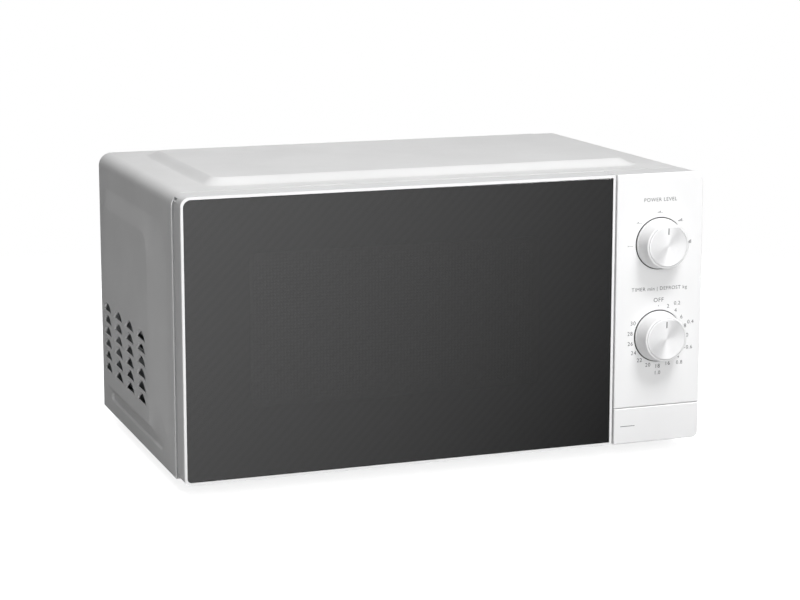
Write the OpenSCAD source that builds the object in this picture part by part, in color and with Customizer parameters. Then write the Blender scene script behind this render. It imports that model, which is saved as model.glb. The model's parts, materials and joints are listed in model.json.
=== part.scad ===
// Countertop microwave oven: left-hung glass door, two rotary controls, push-button door release,
// turntable on a roller ring, and an inverter-driven magnetron beside the cooking cavity.
// +X is the viewer's right, +Y the rear, +Z up. The origin is on the table under the middle of
// the whole oven. Most modules work from the front's lower left corner: x from its left edge,
// y behind its face, z above its lower edge.

/* [Cabinet] */
// Width of the front
front_w = 440; // [436:1:450]
// Height of the front, from the lower edge of the door to its upper edge
front_h = 224; // [222:1:230]
// Depth from the front face to the back of the casing
cabinet_d = 283; // [280:1:290]
// Thickness of the sheet metal
sheet_t = 1; // [0.8:0.1:1]
// Height of the feet under the front's lower edge
foot_h = 12; // [10:1:16]
// Radius of the casing's two top edges
casing_r = 11; // [9:1:12]
// How far the pressed panels stand out of the casing's sides
side_lift = 3; // [2:0.5:3]
// How far the pressed panel stands out of the casing's top
top_lift = 5; // [3:0.5:6]
// How far the pan for the cavity's back stands out of the rear panel
pan_d = 18; // [14:1:22]

/* [Louvres] */
// Columns of louvres in the left side
vent_columns = 4; // [2:1:4]
// Rows of louvres in the left side
vent_rows = 6; // [3:1:8]
// Width of one louvre
vent_w = 30; // [20:1:32]
// Height of one louvre
vent_h = 8; // [5:0.5:8]

/* [Door] */
// Width of the door
door_w = 361; // [360:0.5:361]
// Thickness of the door
door_t = 24.3; // [24:0.1:24.4]
// Width of the frame that shows round the glass
bezel_w = 2.3; // [2:0.1:3]
// Thickness of the front glass
glass_t = 3.2; // [3:0.1:3.4]

/* [Controls] */
// Radius of a knob where it meets the panel
knob_r = 20.9; // [18:0.1:22]
// How far a knob stands out of the front
knob_h = 16; // [14:0.5:20]
// Height of the power knob's centre above the front's lower edge
power_z = 166; // [160:1:170]
// Height of the timer knob's centre above the front's lower edge
timer_z = 89; // [86:1:94]
// Height of the release button
button_h = 30; // [28:0.5:30]

/* [Turntable] */
// Radius of the glass plate
plate_r = 122.5; // [110:0.5:124]
// Radius of the circle that the rollers run on
track_r = 88; // [80:1:96]

/* [Hidden] */
$fn = 48;

rear_out = cabinet_d + pan_d;
front_y = -(rear_out - knob_h) / 2;
eps = 0.5;
stud_r = 4.4;

// Cabinet planes
casing_y = 28;
casing_z = -1.3;
plate_y = 26.5;
base_z = -0.3;
rear_y = cabinet_d - 2 * sheet_t;
skin_gap = 0.2;
right_in = front_w - sheet_t - skin_gap;
left_in = sheet_t + skin_gap;
top_in = front_h - sheet_t - skin_gap;
skin_r = casing_r - left_in;
base_y = casing_y + 1.5;

// Cooking cavity, inside
cav_x0 = 22;
cav_x1 = 328;
cav_y1 = cabinet_d + 7;
cav_z0 = 18;
cav_z1 = 214;
wall_x = cav_x1 + sheet_t;

// Side louvres
vent_y0 = 109.5;
vent_z0 = 38.2;
vent_pitch_y = 40.8;
vent_pitch_z = 10.45;
vent_r = (vent_w * vent_w / 4 + vent_h * vent_h) / (2 * vent_h);

// Front controls
seam = 1.5;
panel_x0 = door_w + seam;
panel_wall = 2.2;
panel_back = 26.2;
knob_x = (panel_x0 + front_w) / 2;
shaft_r = 3;
running_gap = 0.05;
button_z = 16;
stem_r = 3.5;
button_d = 16;
guide_y = 23.7;
button_face = 5.8;
skirt_y = button_face + 5.4;
sleeve_in = panel_wall + 0.5;

// Door
pivot_x = 6;
pivot_y = 20;
pin_r = 2.4;
tongue_t = 2;
tongue_z = 3;
hinge_clear = 0.3;
margin_l = 12;
margin_r = 346.5;
frame_wall = 2.2;
ledge_t = 2;
screen_y = 19;
cover_y = 21.8;

// Latch
hook_x = 350;
hook_t = 4;
hook_zs = [46, 172];
hook_reach = 46;
barb = 2.5;
housing_x0 = 344;
housing_x1 = 360;
lever_y = 33;
lever_z = 30;
lever_pin_r = 2;

// Turntable
spin_x = (cav_x0 + cav_x1) / 2;
spin_y = 156;
wheel_r = 7.85;
wheel_w = 8;
wheel_z = cav_z0 + 8;
plate_z = cav_z0 + 16.15;

// Fan
fan_x = 380;
fan_z = 150;
fan_r = 44;

// Magnetron
tube_y = 135;
tube_z = 165;
guide_x1 = 356;
guide_y0 = 84;
guide_y1 = 182;
guide_z0 = 118;
guide_z1 = 212;
yoke_x1 = 406;

// Electronics
board_z = 9;

white_panel = "#eceded";
casing_grey = "#c9caca";
bare_steel = "#b9bcbf";
dark_plastic = "#2c2d30";
board_green = "#2f6b43";

// Points of a quarter circle, or the corner itself where the radius is nothing
function corner(x, y, r, turn) =
    r == 0 ? [[x, y]] : [for (i = [0:6]) [x + r * cos(turn + i * 15), y + r * sin(turn + i * 15)]];

// A rectangle with a radius at each corner: lower left, lower right, upper right, upper left
function rounded(x0, y0, x1, y1, r) = concat(
    corner(x0 + r[0], y0 + r[0], r[0], 180),
    corner(x1 - r[1], y0 + r[1], r[1], 270),
    corner(x1 - r[2], y1 - r[2], r[2], 0),
    corner(x0 + r[3], y1 - r[3], r[3], 90)
);

function unit(v) = v / norm(v);

// Rings of points round each point of a path, for a wire or a coil
function ring_at(path, i, r, sides) =
    let (
        ahead = path[min(i + 1, len(path) - 1)],
        behind = path[max(i - 1, 0)],
        run = unit(ahead - behind),
        rough = abs(run[2]) < 0.9 ? [0, 0, 1] : [1, 0, 0],
        side = unit(cross(run, rough)),
        over = cross(run, side)
    )
    [for (k = [0:sides - 1]) path[i] + r * (cos(k * 360 / sides) * side + sin(k * 360 / sides) * over)];

// A round wire along a path
module wire(path, r, sides = 6) {
    n = len(path);
    points = [for (i = [0:n - 1]) each ring_at(path, i, r, sides)];
    walls = [
        for (i = [0:n - 2], k = [0:sides - 1])
            let (a = i * sides + k, b = i * sides + (k + 1) % sides)
            each [[a, b, b + sides], [a, b + sides, a + sides]]
    ];
    ends = [[for (k = [sides - 1:-1:0]) k], [for (k = [0:sides - 1]) (n - 1) * sides + k]];
    polyhedron(points, concat(walls, ends), convexity = 8);
}

// A closed-end coil spring that stands on z = 0
module coil(r, wire_r, length, turns) {
    steps = turns * 12;
    wire([for (i = [0:steps])
        [r * cos(i * 30), r * sin(i * 30), wire_r + (length - 2 * wire_r) * i / steps]], wire_r);
}

// Moves from the front's lower left corner to the oven's own origin
module from_corner() {
    translate([-front_w / 2, front_y, foot_h]) children();
}

// Flat shapes given thickness along one axis
module slab_y(y0, y1) {
    translate([0, y1, 0]) rotate([90, 0, 0]) linear_extrude(y1 - y0) children();
}

module slab_x(x0, x1) {
    translate([x0, 0, 0]) rotate([90, 0, 90]) linear_extrude(x1 - x0) children();
}

module slab_z(z0, z1) {
    translate([0, 0, z0]) linear_extrude(z1 - z0) children();
}

module block(x0, x1, y0, y1, z0, z1) {
    translate([x0, y0, z0]) cube([x1 - x0, y1 - y0, z1 - z0]);
}

module rod_x(x0, x1, y, z, r) {
    translate([x0, y, z]) rotate([0, 90, 0]) cylinder(h = x1 - x0, r = r);
}

module rod_y(x, y0, y1, z, r) {
    translate([x, y1, z]) rotate([90, 0, 0]) cylinder(h = y1 - y0, r = r);
}

module rod_z(x, y, z0, z1, r) {
    translate([x, y, z0]) cylinder(h = z1 - z0, r = r);
}

// A copy of a lower piece at the same distance from the front's upper edge
module upside_down() {
    translate([0, 0, front_h]) mirror([0, 0, 1]) children();
}

// ---- Casing ----

// A pressed panel: its foot is the outer outline, its flat crown the inner one
module pressed_panel(lift, foot, crown) {
    hull() {
        translate([0, 0, -eps]) linear_extrude(eps) polygon(foot);
        translate([0, 0, lift - 0.1]) linear_extrude(0.1) polygon(crown);
    }
}

module side_panel() {
    rear = cabinet_d;
    pressed_panel(side_lift,
        rounded(58, 20, rear - 12, front_h - 27, [8, 8, 24, 30]),
        rounded(105, 24, rear - 26, front_h - 43, [4, 4, 12, 16]));
}

module top_panel() {
    pressed_panel(top_lift,
        rounded(42, 46, front_w - 38, cabinet_d - 2, [20, 20, 1, 1]),
        rounded(56, 60, front_w - 52, cabinet_d - 2.5, [12, 12, 1, 1]));
}

module pressed_panels() {
    mirror([1, 0, 0]) rotate([90, 0, 90]) side_panel();
    translate([front_w, 0, 0]) rotate([90, 0, 90]) side_panel();
    translate([0, 0, front_h]) top_panel();
}

module pressed_hollows() {
    translate([sheet_t, 0, 0]) mirror([1, 0, 0]) rotate([90, 0, 90]) side_panel();
    translate([front_w - sheet_t, 0, 0]) rotate([90, 0, 90]) side_panel();
    translate([0, 0, front_h - sheet_t]) top_panel();
}

module each_vent() {
    for (column = [0:vent_columns - 1], row = [0:vent_rows - 1])
        translate([0, vent_y0 + vent_w / 2 + column * vent_pitch_y, vent_z0 + row * vent_pitch_z])
            children();
}

// A half-moon with its straight edge down
module vent_opening() {
    slab_x(-side_lift - eps, -side_lift + sheet_t + eps) intersection() {
        translate([0, vent_h - vent_r]) circle(vent_r);
        translate([-vent_w, 0]) square([2 * vent_w, vent_h + 1]);
    }
}

// The scoop behind a louvre, leaning inwards from its arch to its straight edge
module vent_scoop() {
    crown = -side_lift + sheet_t;
    slab_y(-vent_w / 2 + 3, vent_w / 2 - 3)
        polygon([[crown - 0.3, vent_h + 1.2], [crown - 0.3, vent_h], [crown + 4, 0.4], [crown + 4.8, 0.4]]);
}

// The long bead below the louvres, pressed inwards
module side_bead(x0, x1, grow) {
    block(x0, x1, 70 - grow, cabinet_d - 33 + grow, 11 - grow, 19 + grow);
}

module casing_outline(inset, drop = 0) {
    polygon(rounded(inset, casing_z - drop, front_w - inset, front_h - inset,
        [0, 0, casing_r - inset, casing_r - inset]));
}

module cabinet_wrap() {
    flange_w = 8;
    color(casing_grey) from_corner() difference() {
        union() {
            difference() {
                union() {
                    slab_y(casing_y, cabinet_d) casing_outline(0);
                    pressed_panels();
                }
                difference() {
                    union() {
                        slab_y(casing_y - 1, cabinet_d - sheet_t) casing_outline(sheet_t, 2);
                        pressed_hollows();
                    }
                    for (x = [sheet_t - eps, front_w - sheet_t - flange_w])
                        block(x, x + flange_w + eps, casing_y, cabinet_d, casing_z - 1, base_z);
                }
                block(11, front_w - 11, cabinet_d - 5, cabinet_d + 1, casing_z - 3, front_h - 4.5);
                each_vent() vent_opening();
                each_screw() rod_y(0, rear_y - 1, cabinet_d + 1, 0, 1.5);
            }
            each_vent() vent_scoop();
            side_bead(eps, sheet_t + 1.4, 1);
            translate([front_w, 0, 0]) mirror([1, 0, 0]) side_bead(eps, sheet_t + 1.4, 1);
        }
        side_bead(-1, 1.4, 0);
        translate([front_w, 0, 0]) mirror([1, 0, 0]) side_bead(-1, 1.4, 0);
    }
}

module each_foot() {
    for (x = [45, front_w - 45], y = [62, cabinet_d - 38])
        translate([x, y, 0]) children();
}

module base_plate() {
    flange = 8;
    color(bare_steel) from_corner() difference() {
        union() {
            block(left_in, right_in, base_y, rear_y, base_z, base_z + sheet_t);
            block(left_in, left_in + sheet_t, base_y, rear_y, base_z, flange);
            block(right_in - sheet_t, right_in, base_y, rear_y, base_z, flange);
            block(left_in, right_in, base_y, base_y + sheet_t, base_z, flange);
            block(left_in, right_in, rear_y - sheet_t, rear_y, base_z, flange);
        }
        each_foot() rod_z(0, 0, base_z - 1, base_z + sheet_t + 1, stud_r + running_gap);
        for (i = [0:11])
            block(350, 424, 96 + i * 12, 99 + i * 12, base_z - 1, base_z + sheet_t + 1);
    }
}

module feet() {
    color(dark_plastic) from_corner() each_foot() {
        rotate_extrude() polygon([[0, -foot_h], [11, -foot_h], [12, 1 - foot_h], [14, base_z], [0, base_z]]);
        rod_z(0, 0, base_z - eps, base_z + sheet_t + 2, stud_r);
    }
}

// Half the width of a circle of radius r at height h from its centre
function half_chord(r, h) = sqrt(r * r - h * h);

module rear_panel() {
    pan = [14, cav_x1 + 8, cav_z0 - 8, cav_z1 + 5];
    color(bare_steel) from_corner() difference() {
        union() {
            slab_y(rear_y, rear_y + sheet_t)
                polygon(rounded(left_in, base_z + sheet_t + skin_gap, right_in, top_in, [0, 0, skin_r, skin_r]));
            block(pan[0], pan[1], rear_y, rear_out, pan[2], pan[3]);
        }
        block(pan[0] + sheet_t, pan[1] - sheet_t, rear_y - 1, rear_out - sheet_t,
            pan[2] + sheet_t, pan[3] - sheet_t);
        for (i = [-6:6])
            let (half = half_chord(fan_r, i * 6))
            block(fan_x - half, fan_x + half, rear_y - 1, rear_y + 2, fan_z + i * 6 - 1.5, fan_z + i * 6 + 1.5);
        for (i = [0:5])
            block(350, 424, rear_y - 1, rear_y + 2, 62 + i * 6, 65 + i * 6);
        rod_y(400, rear_y - 1, rear_y + 2, 34, 8);
        each_screw() rod_y(0, rear_y - 1, rear_y + 2, 0, 1.5);
    }
}

module each_screw() {
    for (x = [6.5, front_w - 6.5], z = [22, front_h / 2, front_h - 24])
        translate([x, 0, z]) children();
}

module case_screws() {
    color("#8d9093") from_corner() each_screw() difference() {
        union() {
            rod_y(0, cabinet_d, cabinet_d + 2.4, 0, 4);
            rod_y(0, rear_y - 6, cabinet_d + 1, 0, 1.5);
        }
        for (turn = [0, 90])
            rotate([0, turn, 0]) block(-2.4, 2.4, cabinet_d + 1.2, cabinet_d + 3, -0.45, 0.45);
    }
}

module shaft_holes(y0, y1, r) {
    for (z = [power_z, timer_z]) rod_y(knob_x, y0, y1, z, r);
}

module front_plate() {
    back = plate_y + sheet_t;
    color(bare_steel) from_corner() difference() {
        union() {
            slab_y(plate_y, back)
                polygon(rounded(left_in, 0.2, right_in, top_in, [0, 0, skin_r, skin_r]));
            slab_y(back - eps, back + 12) difference() {
                polygon(rounded(left_in, 0.9, right_in, top_in, [0, 0, skin_r, skin_r]));
                polygon(rounded(left_in + sheet_t, -1, right_in - sheet_t, top_in - sheet_t,
                    [0, 0, skin_r - sheet_t, skin_r - sheet_t]));
            }
        }
        block(-1, front_w + 1, back, back + 20, -2, 9);
        block(cav_x0, cav_x1, plate_y - 1, back + 1, cav_z0, cav_z1);
        for (z = hook_zs) block(hook_x - 1.5, hook_x + hook_t + 2.5, plate_y - 1, back + 1, z - 6, z + 14);
        shaft_holes(plate_y - 1, back + 1, 5);
        rod_y(knob_x, plate_y - 1, back + 1, button_z, 4.2);
        block(panel_x0 + 1.5, panel_x0 + 11.5, plate_y - 1, back + 1, 6, 18);
        tongue_slot(plate_y - 1, back + 1);
        upside_down() tongue_slot(plate_y - 1, back + 1);
    }
}

module tongue_slot(y0, y1) {
    block(pivot_x - 3.6, 12.8, y0, y1, tongue_z - hinge_clear, tongue_z + tongue_t + hinge_clear);
}

module oven_cavity() {
    front = plate_y + sheet_t;
    color("#d9dadb") from_corner() difference() {
        block(cav_x0 - sheet_t, wall_x, front, cav_y1 + sheet_t, cav_z0 - sheet_t, cav_z1 + sheet_t);
        block(cav_x0, cav_x1, front - 1, cav_y1, cav_z0, cav_z1);
        rod_z(spin_x, spin_y, cav_z0 - 2, cav_z0 + 1, 10);
        block(cav_x1 - 1, wall_x + 1, tube_y - 35, tube_y + 20, tube_z - 30, tube_z + 25);
        for (i = [0:4]) {
            block(cav_x1 - 1, wall_x + 1, 188, 216, 190 + i * 4, 192 + i * 4);
            block(cav_x0 - 2, cav_x0 + 1, 130, 240, 52 + i * 9, 55 + i * 9);
        }
    }
}

// ---- Front controls ----

module control_panel() {
    inner_x = front_w - panel_wall;
    color(white_panel) from_corner() difference() {
        union() {
            difference() {
                slab_y(0, panel_back)
                    polygon(rounded(panel_x0, button_h + 0.3, front_w, front_h, [0, 0, 10, 0.8]));
                slab_y(panel_wall, panel_back + 1)
                    polygon(rounded(panel_x0 + panel_wall, button_h + 0.3 + panel_wall, inner_x,
                        front_h - panel_wall, [0, 0, 8, 0]));
            }
            difference() {
                slab_y(skirt_y, panel_back)
                    polygon(rounded(panel_x0, 0, front_w, button_h + 1, [0.8, 5, 0, 0]));
                slab_y(skirt_y - 1, guide_y)
                    polygon(rounded(panel_x0 + panel_wall, panel_wall, inner_x, button_h + 2, [0, 3, 0, 0]));
            }
            for (z = [power_z, timer_z], turn = [45:90:315])
                rod_y(knob_x + 26 * cos(turn), 1, panel_back, z + 26 * sin(turn), 2.5);
        }
        shaft_holes(-1, panel_wall + 1, 4);
        for (z = [power_z, timer_z]) rod_y(knob_x, -1, 0.6, z, knob_r + 0.5);
        rod_y(knob_x, guide_y - 1, panel_back + 1, button_z, stem_r + running_gap);
        block(panel_x0 + 2, panel_x0 + 11, guide_y - 1, panel_back + 1, 6.5, 17.5);
    }
}

module button_sleeve(inset, r) {
    polygon(rounded(panel_x0 + inset, inset, front_w - inset, button_h - inset, [0, r, 0, 0]));
}

module release_button() {
    color(white_panel) from_corner() {
        difference() {
            union() {
                slab_y(0, button_face)
                    polygon(rounded(panel_x0 + 0.2, 0, front_w, button_h - 0.1, [0.8, 5, 0, 0]));
                slab_y(panel_wall, button_d) button_sleeve(sleeve_in, 3);
            }
            slab_y(panel_wall, button_d + 1) button_sleeve(sleeve_in + 1.5, 1.5);
        }
        rod_y(knob_x, 1, 37, button_z, stem_r);
        block(panel_x0 + 4, panel_x0 + 9, 1, 35.8, 9, 15);
    }
}

module button_spring() {
    color("#a8abae") from_corner()
        translate([knob_x, panel_wall + 0.2, button_z]) rotate([-90, 0, 0])
            coil(5, 0.45, guide_y - panel_wall - 0.4, 7);
}

// A knob that tapers towards its face, hollow behind, with a hub for its shaft
module knob(z) {
    face = -knob_h + 0.5;
    translate([knob_x, 0, z]) rotate([90, 0, 0]) difference() {
        rotate_extrude($fn = 96) polygon([
            [0, 3], [5.5, 3], [5.5, 0.5], [8, 0.5], [8, 9], [16.5, 9], [knob_r - 2.2, -0.2],
            [knob_r, -0.2], [knob_r, 1.6], [knob_r - 0.6, 2.2], [knob_r - 2.2, -face - 0.8],
            [knob_r - 3, -face], [17.1, -face], [17.1, -face - 1], [0, -face - 1]
        ]);
        cylinder(h = 2 * (knob_h - 4.5), r = shaft_r + running_gap, center = true);
    }
}

module knob_cap(z) {
    translate([knob_x, 0, z]) rotate([90, 0, 0]) rotate_extrude($fn = 96) polygon([
        [0, knob_h - 1.5], [16.9, knob_h - 1.5], [16.9, knob_h - 0.3], [16.6, knob_h], [0, knob_h]
    ]);
}

module knob_shaft(z, y1) {
    difference() {
        rod_y(knob_x, -knob_h + 5, y1, z, shaft_r);
        block(knob_x - 5, knob_x + 5, -knob_h, -2, z + 1.6, z + 5);
    }
}

module power_knob() {
    color(white_panel) from_corner() knob(power_z);
}

module power_knob_cap() {
    color("#c4c5c7") from_corner() knob_cap(power_z);
}

module power_shaft() {
    color("#d6d2c4") from_corner() knob_shaft(power_z, 46);
}

module timer_knob() {
    color(white_panel) from_corner() knob(timer_z);
}

module timer_knob_cap() {
    color("#c4c5c7") from_corner() knob_cap(timer_z);
}

module timer_shaft() {
    color("#d6d2c4") from_corner() knob_shaft(timer_z, 54);
}

// A control body screwed behind the front plate, bored for its shaft
module control_body(z, size, depth, tabs) {
    y0 = plate_y + sheet_t;
    difference() {
        union() {
            block(knob_x - size / 2, knob_x + size / 2, y0, y0 + depth, z - size / 2, z + size / 2);
            block(knob_x - 33, knob_x + 33, y0, y0 + 1.5, z - 9, z + 9);
            for (i = [0:tabs - 1])
                block(knob_x - size / 2 + 5 + i * 8, knob_x - size / 2 + 8 + i * 8,
                    y0 + depth - 1, y0 + depth + 8, z - size / 2 + 4, z - size / 2 + 5);
        }
        rod_y(knob_x, y0 - 1, y0 + depth - 2, z, shaft_r + running_gap);
    }
}

module timer_mechanism() {
    color("#d9d9d4") from_corner() control_body(timer_z, 50, 30, 3);
}

module timer_bell() {
    y0 = plate_y + sheet_t + 30;
    color("#b8a06a") from_corner() translate([knob_x + 4, y0, timer_z + 4]) rotate([-90, 0, 0])
        rotate_extrude() polygon([
            [0, 0], [2.5, 0], [2.5, 7], [17, 7], [19, 4], [20, 4], [18, 8.2], [0, 8.2]
        ]);
}

module power_regulator() {
    color("#e2e0d8") from_corner() control_body(power_z, 40, 22, 3);
}

// ---- Door ----

module hinge_bracket() {
    back = plate_y + sheet_t;
    block(8.5, 18, back, back + 1.5, tongue_z, 34);
    block(pivot_x - 3.3, pivot_x + 3.3, pivot_y, back, tongue_z, tongue_z + tongue_t);
    block(pivot_x, 12.5, door_t + 0.7, back + eps, tongue_z, tongue_z + tongue_t);
    rod_z(pivot_x, pivot_y, tongue_z, tongue_z + tongue_t, 3.3);
    rod_z(pivot_x, pivot_y, tongue_z + eps, tongue_z + tongue_t + 9.6, pin_r);
}

module lower_hinge_bracket() {
    color("#9ea2a5") from_corner() hinge_bracket();
}

module upper_hinge_bracket() {
    color("#9ea2a5") from_corner() upside_down() hinge_bracket();
}

// The room that the bracket's tongue needs in the door, and the bore for its pin
module hinge_pocket() {
    block(-1, pivot_x + 4.6, pivot_y - 4.8, door_t + 1,
        tongue_z - hinge_clear, tongue_z + tongue_t + hinge_clear);
    rod_z(pivot_x, pivot_y, tongue_z, tongue_z + tongue_t + 10, pin_r + running_gap);
}

module door_outline(inset, r) {
    polygon(rounded(inset, inset, door_w - inset, front_h - inset, r));
}

module door_frame() {
    color(white_panel) from_corner() difference() {
        intersection() {
            slab_y(0, door_t) door_outline(0, [5.5, 0.8, 0.8, 8]);
            slab_z(-1, front_h + 1) polygon(rounded(0, 0, door_w, door_t, [1, 0.6, 1, 5]));
        }
        slab_y(-1, glass_t + 0.2) door_outline(bezel_w, [3.5, 0, 0, 6]);
        slab_y(glass_t - 1, door_t + 1)
            polygon(rounded(margin_l, 11, margin_r - 8, front_h - 11, [2, 2, 2, 2]));
        block(margin_l, margin_r, glass_t + 0.2 + ledge_t, door_t + 1, frame_wall, front_h - frame_wall);
        hinge_pocket();
        upside_down() hinge_pocket();
        block(hook_x - 0.6, hook_x + hook_t + 0.6, glass_t + 1, 17.6, 20, 194);
        for (z = hook_zs) block(hook_x - 0.6, hook_x + hook_t + 0.6, 17, door_t + 1, z - 5, z + 13);
    }
}

module door_glass() {
    color("#34363a") from_corner()
        slab_y(0.2, glass_t + 0.2) door_outline(bezel_w + 0.1, [3.4, 0, 0, 5.9]);
}

// A pressed plate: a flat screen in the middle, and a channel all round that opens to the rear
module door_plate() {
    outer = [margin_l + 0.5, margin_r - 0.5, frame_wall + 0.5, front_h - frame_wall - 0.5];
    island = [25, 332, 17, 212];
    color(bare_steel) from_corner() difference() {
        block(outer[0], outer[1], 8, cover_y - 0.3, outer[2], outer[3]);
        block(island[0], island[1], 7, screen_y, island[2], island[3]);
        difference() {
            block(outer[0] + sheet_t, outer[1] - sheet_t, 8 + sheet_t, cover_y,
                outer[2] + sheet_t, outer[3] - sheet_t);
            block(island[0] - sheet_t, island[1] + sheet_t, 8, screen_y + sheet_t,
                island[2] - sheet_t, island[3] + sheet_t);
        }
    }
}

module window_film() {
    y0 = screen_y + sheet_t;
    color("#5a5f63") from_corner() block(30, 327, y0, y0 + 0.3, 24, front_h - 18);
}

module choke_cover() {
    color(dark_plastic) from_corner() difference() {
        block(margin_l + 0.3, margin_r - 0.3, cover_y, door_t, frame_wall + 0.3, front_h - frame_wall - 0.3);
        block(36, 321, cover_y - 1, door_t + 1, 30, front_h - 24);
    }
}

module latch_hooks() {
    x1 = hook_x + hook_t;
    color("#e6e6e2") from_corner() {
        block(hook_x, x1, 9, 17, 40, hook_zs[1] + 14);
        for (z = hook_zs)
            slab_x(hook_x, x1) polygon([
                [16, z], [hook_reach - 8, z], [hook_reach - 8, z - barb], [hook_reach - 5, z - barb],
                [hook_reach, z + 3], [hook_reach, z + 6], [hook_reach - 2, z + 8], [16, z + 8]
            ]);
    }
}

module latch_spring() {
    color("#a8abae") from_corner() translate([hook_x + hook_t / 2, 13, 22]) coil(1.9, 0.35, 18, 9);
}

// The moulding that the hooks enter, screwed behind the front plate
module latch_housing() {
    y0 = plate_y + sheet_t + 0.3;
    color("#dcdcd6") from_corner() {
        block(housing_x0, housing_x0 + 2, y0, 62, 16, front_h - 24);
        block(housing_x0, housing_x1, 60, 62, 38, front_h - 24);
        for (z = [62, 86, 110, 134, 158, front_h - 26])
            block(housing_x0, housing_x1, y0, 62, z, z + 2);
        for (z = hook_zs)
            block(housing_x0, housing_x1, 31, 34.5, z - 8, z - barb - 0.4);
        rod_x(housing_x0 + 1, housing_x1, lever_y, lever_z, lever_pin_r);
    }
}

module release_lever() {
    bar_y = 38.5;
    bar_z = 12;
    nose_y = 44;
    nose_z = 41.2;
    arm_x = hook_x + 0.4;
    color("#c8a24a") from_corner() difference() {
        union() {
            rod_x(housing_x0 + 2.5, housing_x1 - 1, lever_y, lever_z, 4);
            slab_x(arm_x, arm_x + 3.2) {
                polygon([[lever_y - 3, lever_z], [lever_y + 3, lever_z], [bar_y + 1.5, bar_z], [bar_y - 1.5, bar_z]]);
                polygon([[lever_y, lever_z - 3], [lever_y - 1, lever_z + 2], [nose_y - 1, nose_z + 1],
                    [nose_y + 1, nose_z - 1]]);
            }
            rod_x(arm_x, panel_x0 + 10, bar_y, bar_z, 2.5);
            rod_x(arm_x, arm_x + 3.2, nose_y, nose_z, 1.6);
        }
        rod_x(housing_x0, housing_x1 + 1, lever_y, lever_z, lever_pin_r + running_gap);
    }
}

module door_switches() {
    color("#3a3a3c") from_corner() for (z = [44, 68, hook_zs[1] - 2]) {
        block(housing_x0 + 2, housing_x1 - 4, 62, 76, z, z + 20);
        block(housing_x0 + 6, housing_x0 + 8, 76, 82, z + 3, z + 5);
        block(housing_x0 + 6, housing_x0 + 8, 76, 82, z + 15, z + 17);
    }
}

// ---- Turntable ----

module at_spindle(z = 0) {
    translate([spin_x, spin_y, z]) children();
}

module turntable_motor() {
    color("#c0c2c4") from_corner() at_spindle(base_z + sheet_t) difference() {
        union() {
            cylinder(h = 14, r = 24.5);
            translate([-32, -6, 13]) cube([64, 12, 1]);
            translate([-8, -30, 2]) cube([16, 8, 9]);
        }
        translate([0, 0, 5]) cylinder(h = 10, r = 3.45);
    }
}

module turntable_shaft() {
    color("#d8d5cc") from_corner() at_spindle(base_z + sheet_t + 5.2) cylinder(h = 22, r = 3.4);
}

module drive_coupler() {
    neck = cav_z0 + 0.8;
    color("#e8e6df") from_corner() at_spindle() difference() {
        union() {
            translate([0, 0, neck]) cylinder(h = plate_z - neck - 0.1, r = 9);
            for (turn = [0:120:240])
                rotate([0, 0, turn]) translate([0, -4, plate_z - 5]) cube([16, 8, 4.9]);
        }
        translate([0, 0, neck - 1]) cylinder(h = 10.6, r = 3.45);
    }
}

module turntable_plate() {
    color("#dfe7e6") from_corner() at_spindle(plate_z) {
        rotate_extrude($fn = 128) polygon([
            [0, 0], [plate_r - 12, 0], [plate_r - 5, 3], [plate_r, 11], [plate_r, 13],
            [plate_r - 3.4, 13], [plate_r - 8, 6], [plate_r - 13, 4.5], [0, 4.5]
        ]);
        for (turn = [60:120:300])
            rotate([0, 0, turn]) translate([11, -3, -4]) cube([6, 6, 4.5]);
    }
}

module roller_ring() {
    color("#e9e8e3") from_corner() at_spindle(wheel_z) {
        rotate_extrude($fn = 96) polygon([
            [track_r - 10, -3], [track_r - 6, -3], [track_r - 6, 3], [track_r - 10, 3]
        ]);
        rotate_extrude($fn = 64) polygon([[17.5, -5], [21, -5], [21, -1], [17.5, -1]]);
        for (turn = [60:120:300])
            rotate([0, 0, turn]) translate([20, -4, -4.5]) cube([track_r - 29, 8, 4]);
        for (turn = [0:120:240])
            rotate([0, 0, turn]) rod_x(track_r - 7, track_r + wheel_w / 2 + 1.5, 0, 0, 1.5);
    }
}

module roller_wheel(turn) {
    from_corner() at_spindle(wheel_z) rotate([0, 0, turn]) difference() {
        rod_x(track_r - wheel_w / 2, track_r + wheel_w / 2, 0, 0, wheel_r);
        rod_x(track_r - wheel_w, track_r + wheel_w, 0, 0, 1.5 + running_gap);
    }
}

module roller_wheel_1() {
    color("#f1f0ec") roller_wheel(0);
}

module roller_wheel_2() {
    color("#f1f0ec") roller_wheel(120);
}

module roller_wheel_3() {
    color("#f1f0ec") roller_wheel(240);
}

// ---- Microwave source ----

module waveguide() {
    color(bare_steel) from_corner() difference() {
        block(wall_x, guide_x1, guide_y0, guide_y1, guide_z0, guide_z1);
        block(wall_x - 1, guide_x1 - sheet_t, guide_y0 + sheet_t, guide_y1 - sheet_t,
            guide_z0 + sheet_t, guide_z1 - sheet_t);
        rod_x(guide_x1 - 2, guide_x1 + 1, tube_y, tube_z, 12);
    }
}

module waveguide_cover() {
    color("#b9a98a") from_corner()
        block(cav_x1 - 0.5, cav_x1, tube_y - 45, tube_y + 30, tube_z - 40, tube_z + 35);
}

module magnetron_yoke() {
    y0 = tube_y - 38;
    y1 = tube_y + 38;
    z0 = tube_z - 42;
    z1 = tube_z + 42;
    color("#a9adb0") from_corner() difference() {
        block(guide_x1, yoke_x1, y0, y1, z0, z1);
        block(guide_x1 + 1.5, yoke_x1 - 1.5, y0 - 1, y1 + 1, z0 + 1.5, z1 - 1.5);
        rod_x(guide_x1 - 1, yoke_x1 + 1, tube_y, tube_z, 12);
    }
}

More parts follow.
